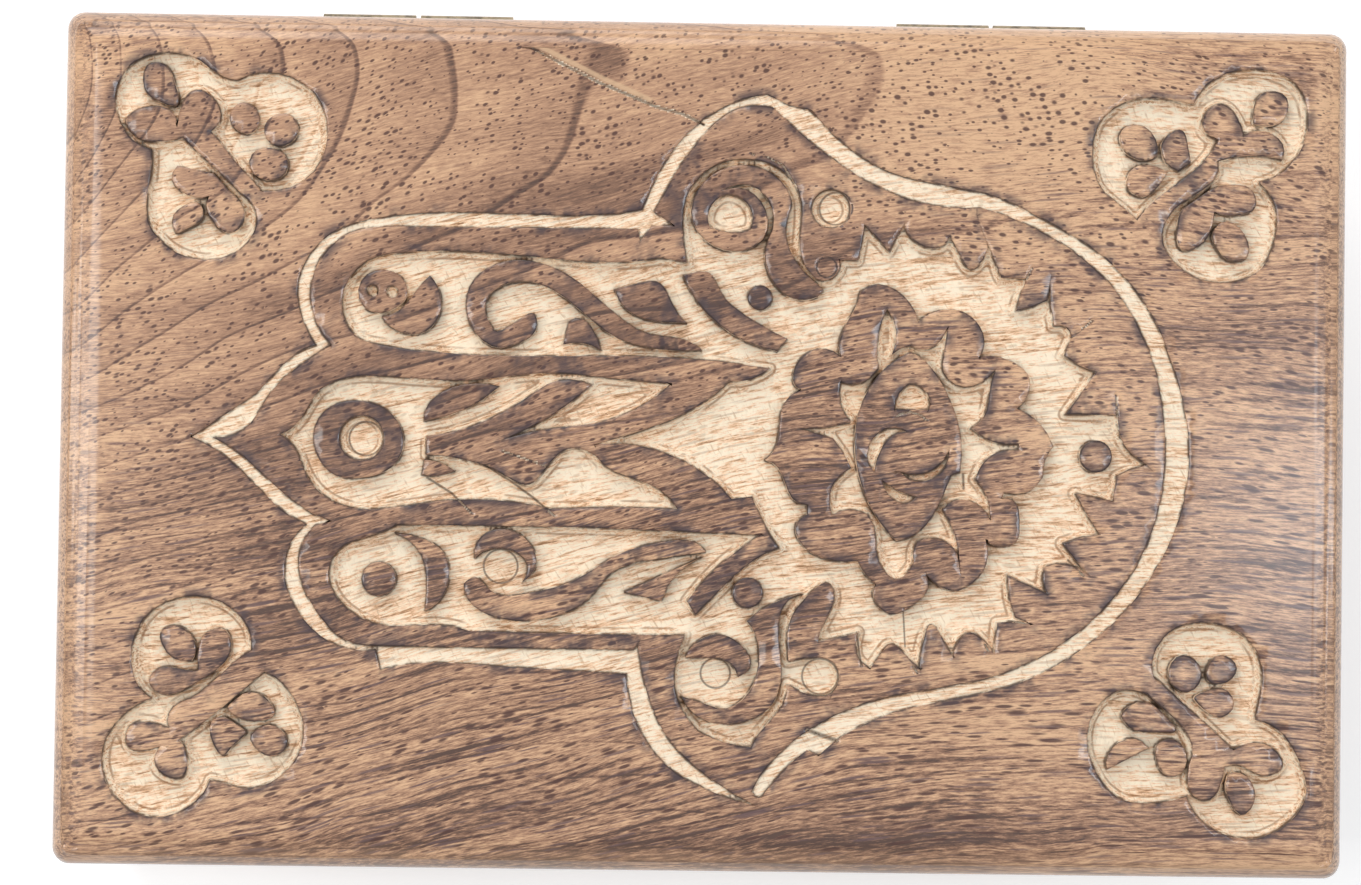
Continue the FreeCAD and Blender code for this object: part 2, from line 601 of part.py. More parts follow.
def add_rectangle(sketch, left, right, low, high):
    """Draw a rectangle whose four sides are bound to formulas."""
    first = sketch.GeometryCount
    corners = (Vector(-1, -1, 0), Vector(1, -1, 0), Vector(1, 1, 0), Vector(-1, 1, 0))
    for start, end in zip(corners, corners[1:] + corners[:1]):
        sketch.addGeometry(Part.LineSegment(start, end), False)
    for side in range(4):
        following = first + (side + 1) % 4
        sketch.addConstraint(Sketcher.Constraint("Coincident", first + side, 2, following, 1))
    for side, kind in enumerate(("Horizontal", "Vertical", "Horizontal", "Vertical")):
        sketch.addConstraint(Sketcher.Constraint(kind, first + side))
    sides = ((left, "DistanceX", 1), (low, "DistanceY", 1), (right, "DistanceX", 3),
             (high, "DistanceY", 3))
    for text, kind, corner in sides:
        side = first if corner == 1 else first + 1
        end = 1 if corner == 1 else 2
        value = sketch.evalExpression(formula(text))
        index = sketch.addConstraint(Sketcher.Constraint(kind, -1, 1, side, end, float(value)))
        sketch.setExpression(f"Constraints[{index}]", formula(text))


def add_circle(sketch, across, up, radius):
    """Draw a circle whose centre and radius are bound to formulas."""
    index = sketch.addGeometry(Part.Circle(Vector(0, 0, 0), Vector(0, 0, 1), 1.0), False)
    measures = (
        (across, ("DistanceX", -1, 1, index, 3)),
        (up, ("DistanceY", -1, 1, index, 3)),
        (radius, ("Radius", index)),
    )
    for text, measure in measures:
        value = float(sketch.evalExpression(formula(text)))
        place = sketch.addConstraint(Sketcher.Constraint(*measure, value))
        sketch.setExpression(f"Constraints[{place}]", formula(text))


def pad(body, sketch, height):
    """Raise a sketch by a formula, along the normal of its plane."""
    feature = body.newObject("PartDesign::Pad", f"{sketch.Name}_pad")
    feature.Profile = sketch
    bind(feature, Length=height)
    sketch.Visibility = False
    return feature


def pocket(body, sketch, depth):
    """Cut a sketch down by a formula, against the normal of its plane."""
    feature = body.newObject("PartDesign::Pocket", f"{sketch.Name}_pocket")
    feature.Profile = sketch
    bind(feature, Length=depth)
    sketch.Visibility = False
    return feature


def round_edges(body, radius, wanted):
    """Round the edges of a body that a test picks, with a bound radius."""
    doc.recompute()
    base = body.Tip
    names = [f"Edge{number}" for number, edge in enumerate(base.Shape.Edges, start=1)
             if wanted(edge)]
    feature = body.newObject("PartDesign::Fillet", f"{body.Name}_round")
    feature.Base = (base, names)
    bind(feature, Radius=radius)
    return feature


def size(name):
    """Return the present value of a cell."""
    return float(sheet.get(name))


def outer_upright(edge):
    """Tell whether an edge is upright and on a corner of the box."""
    box = edge.BoundBox
    at_corner = (abs(abs(box.Center.x) - size("box_length") / 2) < 0.01
                 and abs(abs(box.Center.y) - size("box_depth") / 2) < 0.01)
    return at_corner and box.ZLength > 1


def at_level(level):
    """Make a test for the outer edges at a height."""
    def wanted(edge):
        box = edge.BoundBox
        flat = abs(box.ZMin - level) < 0.01 and abs(box.ZMax - level) < 0.01
        return flat and on_outside(box)
    return wanted


def on_outside(box):
    """Tell whether a bounding box touches the outside of the box in plan."""
    half_length, half_depth = size("box_length") / 2, size("box_depth") / 2
    on_end = abs(abs(box.Center.x) - half_length) < 1 and box.XLength < size("plan_round") + 0.1
    on_side = abs(abs(box.Center.y) - half_depth) < 1 and box.YLength < size("plan_round") + 0.1
    return on_end or on_side


# The base: four walls and a floor let into them

LONG_SIDE = ("-box_length / 2", "box_length / 2")
SHORT_SIDE = ("wall - box_depth / 2", "box_depth / 2 - wall")


def long_wall(name, inner, outer, level, height):
    """Build a full-length wall between two formulas of y."""
    body = new_body(name)
    sketch = new_sketch(body, f"{name}_plan", level)
    add_rectangle(sketch, *LONG_SIDE, *sorted_sides(inner, outer))
    pad(body, sketch, height)
    return body


def short_wall(name, inner, outer, level, height):
    """Build an end wall between two formulas of x, set between the long walls."""
    body = new_body(name)
    sketch = new_sketch(body, f"{name}_plan", level)
    add_rectangle(sketch, *sorted_sides(inner, outer), *SHORT_SIDE)
    pad(body, sketch, height)
    return body


def sorted_sides(first, second):
    """Return two formulas with the one of the lesser value first."""
    values = [float(sheet.evalExpression(formula(text))) for text in (first, second)]
    return (first, second) if values[0] < values[1] else (second, first)


def cut_rebate(body):
    """Cut the rebate that the floor lies in."""
    sketch = new_sketch(body, f"{body.Name}_rebate", "floor_height")
    add_rectangle(sketch, "wall - rebate_depth - box_length / 2",
                  "box_length / 2 - wall + rebate_depth",
                  "wall - rebate_depth - box_depth / 2",
                  "box_depth / 2 - wall + rebate_depth")
    pocket(body, sketch, "floor_height")


def build_base():
    """Build the walls and the floor of the base."""
    walls = [
        long_wall("front_wall", "wall - box_depth / 2", "-box_depth / 2", "0", "base_height"),
        long_wall("back_wall", "box_depth / 2 - wall", "box_depth / 2", "0", "base_height"),
        short_wall("left_wall", "wall - box_length / 2", "-box_length / 2", "0", "base_height"),
        short_wall("right_wall", "box_length / 2 - wall", "box_length / 2", "0", "base_height"),
    ]
    for wall in walls:
        cut_rebate(wall)
    for wall in walls[:2]:
        round_edges(wall, "plan_round", outer_upright)
    for wall in walls:
        round_edges(wall, "foot_round", at_level(0.0))
    floor = new_body("bottom_panel")
    sketch = new_sketch(floor, "bottom_panel_plan")
    add_rectangle(sketch, "wall - rebate_depth + floor_play - box_length / 2",
                  "box_length / 2 - wall + rebate_depth - floor_play",
                  "wall - rebate_depth + floor_play - box_depth / 2",
                  "box_depth / 2 - wall + rebate_depth - floor_play")
    pad(floor, sketch, "floor_height")
    return walls + [floor]


# The lid: a thick panel on four rails

def build_rails():
    """Build the four rails under the lid panel."""
    rails = [
        long_wall("lid_front_rail", "wall - box_depth / 2", "-box_depth / 2",
                  "lid_base", "rail_height"),
        long_wall("lid_back_rail", "box_depth / 2 - wall", "box_depth / 2",
                  "lid_base", "rail_height"),
        short_wall("lid_left_rail", "wall - box_length / 2", "-box_length / 2",
                   "lid_base", "rail_height"),
        short_wall("lid_right_rail", "box_length / 2 - wall", "box_length / 2",
                   "lid_base", "rail_height"),
    ]
    for rail in rails[:2]:
        round_edges(rail, "plan_round", outer_upright)
    return rails


FACET = 0.06  # how far the straight knife cuts may lie from the curve they follow


def cuts_along(curve):
    """Follow a smooth curve by short straight cuts, as a knife does."""
    points = curve.toShape().discretize(QuasiDeflection=FACET)
    return [Part.LineSegment(*pair) for pair in zip(points, points[1:])]


def cuts_of(outline):
    """Turn an outline of stretches into straight cuts."""
    if len(outline) == 1:
        loop = Part.BSplineCurve()
        loop.interpolate(Points=[Vector(x, y, 0) for x, y in outline[0]], PeriodicFlag=True)
        return cuts_along(loop)
    cuts = []
    start = outline[-1][-1]
    for stretch in outline:
        points = [Vector(x, y, 0) for x, y in (start,) + stretch]
        start = stretch[-1]
        if len(points) == 2:
            cuts.append(Part.LineSegment(*points))
        else:
            curve = Part.BSplineCurve()
            curve.interpolate(Points=points)
            cuts.extend(cuts_along(curve))
    return cuts


def carve(body, name, outlines, discs, depth, across="0", along="0"):
    """Sink outlines and discs into the top of the lid, moved by two formulas."""
    sketch = new_sketch(body, name, "box_height")
    bind(sketch, AttachmentOffset__Base__x=across, AttachmentOffset__Base__y=along)
    lines = [cut for outline in outlines for cut in cuts_of(outline)]
    lines += [Part.Circle(Vector(x, y, 0), Vector(0, 0, 1), radius)
              for (x, y), radius in discs]
    sketch.addGeometry(lines, False)
    pocket(body, sketch, depth)


def build_lid_panel():
    """Build the panel, round its top edge and carve it."""
    body = new_body("lid_panel")
    sketch = new_sketch(body, "lid_panel_plan", "panel_base")
    add_rectangle(sketch, *LONG_SIDE, "-box_depth / 2", "box_depth / 2")
    pad(body, sketch, "panel_height")
    round_edges(body, "plan_round", outer_upright)
    round_edges(body, "top_round", at_level(size("box_height")))
    growth = ("box_length - art_length", "box_depth - art_depth")
    half = [f"( {text} ) / 2" for text in growth]
    motifs = (
        ("back_left_motif", BACK_LEFT_MOTIF, "-", ""),
        ("back_right_motif", BACK_RIGHT_MOTIF, "", ""),
        ("front_left_motif", FRONT_LEFT_MOTIF, "-", "-"),
        ("front_right_motif", FRONT_RIGHT_MOTIF, "", "-"),
    )
    carve(body, "hand_groove", (HAND_GROOVE,), (), "groove_depth")
    carve(body, "hand_ground", (HAND_GROUND, FINGER_GROUND) + HAND_STANDING,
          STANDING_DISCS + SUNK_DISCS, "ground_depth")
    for name, outlines, side, row in motifs:
        carve(body, name, outlines, (), "ground_depth", side + half[0], row + half[1])
    return body


# The hinges: two leaves let into the wood, a pin and screws for each

def leaf_sides(side):
    """Return the formulas of a leaf's ends and of its long edges."""
    centre = f"{side} hinge_spread / 2"
    return (f"{centre} - leaf_length / 2", f"{centre} + leaf_length / 2",
            "box_depth / 2 - leaf_width", "box_depth / 2")


def screw_places(side):
    """Return the formulas of x of the two screws of a leaf."""
    centre = f"{side} hinge_spread / 2"
    return (f"{centre} - screw_spread / 2", f"{centre} + screw_spread / 2")


def cut_seat(body, side, top, name):
    """Cut the seat of a leaf down from a level."""
    sketch = new_sketch(body, f"{name}_seat", top)
    add_rectangle(sketch, *leaf_sides(side))
    pocket(body, sketch, "leaf_height")


def drill_pilots(body, side, top, name):
    """Drill the two pilot holes of a leaf down from a level."""
    sketch = new_sketch(body, f"{name}_pilots", top)
    for across in screw_places(side):
        add_circle(sketch, across, "screw_y", "screw_shank + screw_play")
    pocket(body, sketch, "screw_length + screw_play")


def build_leaf(name, side, low, knuckle_start, sink_base, wide_end):
    """Build a leaf with its knuckle, bore and countersunk holes."""
    body = new_body(name)
    plate = new_sketch(body, f"{name}_plate", low)
    add_rectangle(plate, *leaf_sides(side))
    pad(body, plate, "leaf_height")
    barrel = new_sketch(body, f"{name}_barrel", knuckle_start, "YZ_Plane")
    add_circle(barrel, "axis_y", "axis_z", "knuckle_radius")
    pad(body, barrel, "knuckle_length")
    neck = new_sketch(body, f"{name}_neck", knuckle_start, "YZ_Plane")
    add_rectangle(neck, "box_depth / 2 - leaf_height", "axis_y", low, f"{low} + leaf_height")
    pad(body, neck, "knuckle_length")
    bore = new_sketch(body, f"{name}_bore", f"{knuckle_start} + knuckle_length", "YZ_Plane")
    add_circle(bore, "axis_y", "axis_z", "bore_radius")
    pocket(body, bore, "knuckle_length")
    holes = new_sketch(body, f"{name}_holes", f"{low} + leaf_height")
    for across in screw_places(side):
        add_circle(holes, across, "screw_y", "screw_shank")
    pocket(body, holes, "leaf_height")
    radii = ("screw_shank", "screw_head") if wide_end == "top" else ("screw_head", "screw_shank")
    for number, across in enumerate(screw_places(side), start=1):
        sink = body.newObject("PartDesign::SubtractiveCone", f"{name}_sink_{number}")
        bind(sink, Radius1=radii[0], Radius2=radii[1], Height="screw_sink",
             Placement__Base__x=across, Placement__Base__y="screw_y",
             Placement__Base__z=sink_base)
    return body


def build_screws(name, side, head_level, upward):
    """Build the two screws of a leaf, driven up or down from a level."""
    screws = []
    for number, across in enumerate(screw_places(side), start=1):
        label = f"{name}_{number}"
        head = doc.addObject("Part::Cone", f"{label}_head")
        shank = doc.addObject("Part::Cylinder", f"{label}_shank")
        tip = doc.addObject("Part::Cone", f"{label}_tip")
        slot = doc.addObject("Part::Box", f"{label}_slot")
        if upward:
            bind(head, Radius1="screw_head", Radius2="screw_shank")
            bind(tip, Radius1="screw_shank", Radius2="screw_shank / 4")
            levels = (head_level, f"{head_level} + screw_sink",
                      f"{head_level} + screw_length - screw_tip", head_level)
        else:
            bind(head, Radius1="screw_shank", Radius2="screw_head")
            bind(tip, Radius1="screw_shank / 4", Radius2="screw_shank")
            levels = (f"{head_level} - screw_sink", f"{head_level} - screw_length + screw_tip",
                      f"{head_level} - screw_length", f"{head_level} - slot_depth")
        bind(head, Height="screw_sink")
        bind(shank, Radius="screw_shank", Height="screw_length - screw_sink - screw_tip")
        bind(tip, Height="screw_tip")
        bind(slot, Length="2 * screw_head", Width="slot_width", Height="slot_depth")
        for feature, level in zip((head, shank, tip, slot), levels):
            bind(feature, Placement__Base__x=across, Placement__Base__y="screw_y",
                 Placement__Base__z=level)
        bind(slot, Placement__Base__x=f"{across} - screw_head",
             Placement__Base__y="screw_y - slot_width / 2")
        blank = doc.addObject("Part::MultiFuse", f"{label}_blank")
        blank.Shapes = [head, shank, tip]
        screw = doc.addObject("Part::Cut", label)
        screw.Base, screw.Tool = blank, slot
        screws.append(screw)
    pair = doc.addObject("Part::Compound", name)
    pair.Label = name
    pair.Links = screws
    return pair


def build_pin(name, side):
    """Build a hinge pin whose ends are peened over the knuckles."""
    centre = f"{side} hinge_spread / 2"
    left_end = f"{centre} - leaf_length / 2"
    right_end = f"{centre} + leaf_length / 2 + pin_play"
    along_x = Rotation(Vector(0, 1, 0), 90)
    shaft = doc.addObject("Part::Cylinder", f"{name}_shaft")
    left_head = doc.addObject("Part::Cone", f"{name}_left_head")
    right_head = doc.addObject("Part::Cone", f"{name}_right_head")
    bind(shaft, Radius="pin_radius", Height="leaf_length + pin_play")
    bind(left_head, Radius1="pin_radius", Radius2="pin_head_radius", Height="pin_head")
    bind(right_head, Radius1="pin_head_radius", Radius2="pin_radius", Height="pin_head")
    for feature, start in ((shaft, left_end), (left_head, f"{left_end} - pin_head"),
                           (right_head, right_end)):
        feature.Placement = Placement(Vector(0, 0, 0), along_x)
        bind(feature, Placement__Base__x=start, Placement__Base__y="axis_y",
             Placement__Base__z="axis_z")
    pin = doc.addObject("Part::MultiFuse", name)
    pin.Label = name
    pin.Shapes = [shaft, left_head, right_head]
    return pin


def build_hinge(word, side, back_wall, back_rail):
    """Let one hinge into the back wall and the back rail, and build its pieces."""
    pilot_top = "lid_base + screw_length + screw_play"
    cut_seat(back_wall, side, "base_height", f"{word}_base")
    drill_pilots(back_wall, side, "base_height", f"{word}_base")
    cut_seat(back_rail, side, "lid_base + leaf_height", f"{word}_lid")
    drill_pilots(back_rail, side, pilot_top, f"{word}_lid")
    centre = f"{side} hinge_spread / 2"
    return [
        build_leaf(f"{word}_hinge_base_leaf", side, "base_height - leaf_height",
                   f"{centre} - leaf_length / 2", "base_height - screw_sink", "top"),
        build_leaf(f"{word}_hinge_lid_leaf", side, "lid_base",
                   f"{centre} + knuckle_gap / 2", "lid_base", "bottom"),
        build_pin(f"{word}_hinge_pin", side),
        build_screws(f"{word}_hinge_base_screws", side, "base_height", upward=False),
        build_screws(f"{word}_hinge_lid_screws", side, "lid_base", upward=True),
    ]


def check(pieces):
    """Stop if a feature failed or a piece isn't a sound solid."""
    for feature in doc.Objects:
        if "Invalid" in feature.State or "Error" in feature.State:
            raise RuntimeError(f"{feature.Name} did not recompute: {feature.State}")
    for piece in pieces:
        if not piece.Shape.isValid() or not piece.Shape.Solids:
            raise RuntimeError(f"{piece.Label} is not a sound solid")


def main():
    """Build every piece, check it and write it."""
    base = build_base()
    rails = build_rails()
    lid_panel = build_lid_panel()
    back_wall, back_rail = base[1], rails[1]
    hinges = build_hinge("left", "-", back_wall, back_rail)
    hinges += build_hinge("right", "", back_wall, back_rail)
    pieces = base + rails + [lid_panel] + hinges
    doc.recompute()
    check(pieces)
    for piece in pieces:
        piece.Shape.exportStep(f"parts/{piece.Label}.step")


main()
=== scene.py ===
"""Looks of a wooden keepsake box with a carved lid, seen from straight above.

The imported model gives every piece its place, in metres, +Z up, +X along the
box and the hinges on the +Y side. The lid panel is a copy of its solid whose
cleared grounds are cut into a fine grid, sloped at their rims and tooled. The
other boards are copies with eased edges. All the wood reads one solid grain,
so that it runs on from the stained top into the raw carving.
"""

import logging
import math
from collections.abc import Callable, Iterable, Iterator
from contextlib import contextmanager
from dataclasses import dataclass, field
from enum import Enum
from functools import partialmethod

import bmesh
import bpy
from bmesh.types import BMEdge, BMFace
from bpy.types import Material, Node, NodeSocket, NodeTree, Object
from mathutils import Euler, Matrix, Vector, kdtree, noise

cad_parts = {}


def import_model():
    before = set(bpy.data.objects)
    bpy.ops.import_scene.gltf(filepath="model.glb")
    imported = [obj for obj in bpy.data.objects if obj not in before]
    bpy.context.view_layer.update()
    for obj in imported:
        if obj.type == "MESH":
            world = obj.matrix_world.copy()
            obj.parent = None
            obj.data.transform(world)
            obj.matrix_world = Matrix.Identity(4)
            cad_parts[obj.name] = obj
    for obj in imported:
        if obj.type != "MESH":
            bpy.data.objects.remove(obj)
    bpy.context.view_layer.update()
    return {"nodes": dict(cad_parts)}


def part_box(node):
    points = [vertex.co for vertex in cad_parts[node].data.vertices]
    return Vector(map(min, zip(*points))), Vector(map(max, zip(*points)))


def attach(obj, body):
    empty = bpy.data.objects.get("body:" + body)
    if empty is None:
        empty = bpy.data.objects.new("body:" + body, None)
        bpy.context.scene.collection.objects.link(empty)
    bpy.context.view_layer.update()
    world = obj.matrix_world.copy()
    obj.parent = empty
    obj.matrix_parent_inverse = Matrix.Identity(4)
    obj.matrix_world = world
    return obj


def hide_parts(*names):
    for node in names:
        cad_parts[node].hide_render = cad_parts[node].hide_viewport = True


log = logging.getLogger("keepsake_box")

MM = 0.001
WHITE = (1.0, 1.0, 1.0, 1.0)
SIDES = ("front", "back", "left", "right")


def tone(code: str) -> tuple[float, float, float, float]:
    """Turn a colour as the eye sees it into the linear one of a shader.

    Args:
        code: six hexadecimal digits.

    Returns:
        Linear red, green, blue and an alpha of one.
    """
    parts = [int(code[start:start + 2], 16) / 255 for start in (0, 2, 4)]
    linear = [part / 12.92 if part < 0.04 else ((part + 0.055) / 1.055) ** 2.4 for part in parts]
    return (*linear, 1.0)


class Rim(Enum):
    """Names of the distances that the lid's mesh carries, in millimetres."""

    EDGE = "edge_mm"
    CUT = "cut_mm"
    SLIVER = "sliver_mm"
    STOP = "stop_mm"


class Wiring:
    """Adds the nodes of one shader tree and joins their sockets."""

    def __init__(self, tree: NodeTree) -> None:
        """Keep the tree that the nodes go into."""
        self.tree = tree

    def node(self, kind: str, *values: object, **settings: object) -> Node:
        """Add a node, set its properties and feed its sockets in their order.

        Args:
            kind: the node's type name without its shader prefix.
            values: sockets to join to, or plain values.
            settings: property names and values.

        Returns:
            The new node.
        """
        made = self.tree.nodes.new("ShaderNode" + kind)
        for name, value in settings.items():
            setattr(made, name, value)
        for socket, value in zip(made.inputs, values):
            self.feed(socket, value)
        return made

    def feed(self, socket: NodeSocket, value: object) -> None:
        """Join a socket to another, or set it to a plain value.

        Args:
            socket: the input to feed.
            value: a socket or a plain value.
        """
        if isinstance(value, NodeSocket):
            self.tree.links.new(value, socket)
        else:
            socket.default_value = value

    def fill(self, node: Node, values: dict[str, object]) -> None:
        """Feed a node's sockets by their names."""
        for name, value in values.items():
            self.feed(node.inputs[name], value)

    def calc(self, kind: str, *values: object, clamp: bool = False) -> NodeSocket:
        """Add a math node.

        Args:
            kind: the operation, such as ADD.
            values: sockets or numbers, in the node's order.
            clamp: whether the result is kept between nought and one.

        Returns:
            The result's socket.
        """
        return self.node("Math", *values, operation=kind, use_clamp=clamp).outputs[0]

    # The math nodes used most, by plain names
    plus = partialmethod(calc, "ADD")
    minus = partialmethod(calc, "SUBTRACT")
    times = partialmethod(calc, "MULTIPLY")
    over = partialmethod(calc, "DIVIDE")
    scaled = partialmethod(calc, "MULTIPLY_ADD")
    larger = partialmethod(calc, "MAXIMUM")
    root = partialmethod(calc, "SQRT")
    size = partialmethod(calc, "ABSOLUTE")

    def span(self, value: object, low: float, high: float, start: float = 0.0,
             end: float = 1.0) -> NodeSocket:
        """Ease a value from one range into another.

        Args:
            value: the socket to read.
            low: where the input range begins.
            high: where the input range ends.
            start: the result at the beginning.
            end: the result at the end.

        Returns:
            The result's socket.
        """
        made = self.node("MapRange", value, low, high, start, end, interpolation_type="SMOOTHSTEP")
        return made.outputs[0]

    def blend(self, amount: object, first: object, second: object) -> NodeSocket:
        """Mix two colours.

        Args:
            amount: how much of the second colour, a socket or a number.
            first: a colour or socket.
            second: a colour or socket.

        Returns:
            The mixed colour's socket.
        """
        made = self.node("Mix", data_type="RGBA", clamp_factor=True)
        for name, value in (("Factor_Float", amount), ("A_Color", first), ("B_Color", second)):
            self.feed(next(s for s in made.inputs if s.identifier == name), value)
        return next(s for s in made.outputs if s.identifier == "Result_Color")

    def cloud(self, vector: object, scale: float = 1.0, detail: float = 3.0,
              rough: float = 0.5) -> NodeSocket:
        """Add soft noise and return its value."""
        made = self.node("TexNoise")
        self.fill(made, {"Vector": vector, "Scale": scale, "Detail": detail, "Roughness": rough})
        return made.outputs["Fac"]

    def point(self, across: object, along: object, up: object) -> NodeSocket:
        """Join three values into a vector."""
        return self.node("CombineXYZ", across, along, up).outputs[0]

    def parts(self, vector: object) -> tuple[NodeSocket, ...]:
        """Split a vector into its three values."""
        return tuple(self.node("SeparateXYZ", vector).outputs)

    def stretch(self, axes: tuple, length: float, width: float) -> NodeSocket:
        """Scale a place along the fibres, and across them both ways."""
        across, side, up = axes
        return self.point(self.times(across, length), self.times(side, width),
                          self.times(up, width))

    def place(self) -> NodeSocket:
        """Return the place on the piece itself, in metres."""
        return self.node("TexCoord").outputs["Object"]

    def mapped(self, vector: object, scale: tuple, shift: tuple = (0.0, 0.0, 0.0),
               turn: float = 0.0) -> NodeSocket:
        """Scale a vector, turn it about Z and shift it."""
        return self.node("Mapping", vector, shift, (0.0, 0.0, turn), scale).outputs[0]

    def ellipse(self, vector: object, centre: tuple, radii: tuple) -> NodeSocket:
        """Measure from an ellipse's centre, with one on its outline."""
        shift = (-centre[0] / radii[0], -centre[1] / radii[1], 0.0)
        centred = self.mapped(vector, (1 / radii[0], 1 / radii[1], 0.0), shift)
        return self.node("VectorMath", centred, operation="LENGTH").outputs["Value"]

    def rim(self, rim: Rim) -> NodeSocket:
        """Read a distance that the mesh carries, in millimetres."""
        return self.node("Attribute", attribute_name=rim.value).outputs["Fac"]

    def bump(self, shader: Node, height: object, strength: float, depth: float) -> None:
        """Raise a shader's surface by a height, with the depth in millimetres."""
        made = self.node("Bump")
        self.fill(made, {"Strength": strength, "Distance": depth * MM, "Height": height})
        self.feed(shader.inputs["Normal"], made.outputs[0])

    def ramp(self, value: object, stops: tuple[tuple[float, str], ...]) -> NodeSocket:
        """Turn a value into a colour.

        Args:
            value: the value's socket.
            stops: places from nought to one, with their colour codes.

        Returns:
            The colour's socket.
        """
        made = self.node("ValToRGB", value)
        elements = made.color_ramp.elements
        while len(elements) < len(stops):
            elements.new(0.5)
        for element, (place, code) in zip(elements, stops):
            element.position = place
            element.color = tone(code)
        return made.outputs[0]


def new_material(name: str) -> tuple[Material, Wiring, Node]:
    """Make an empty material and return it with its wiring and its shader."""
    material = bpy.data.materials.new(name)
    material.use_nodes = True
    return material, Wiring(material.node_tree), material.node_tree.nodes["Principled BSDF"]


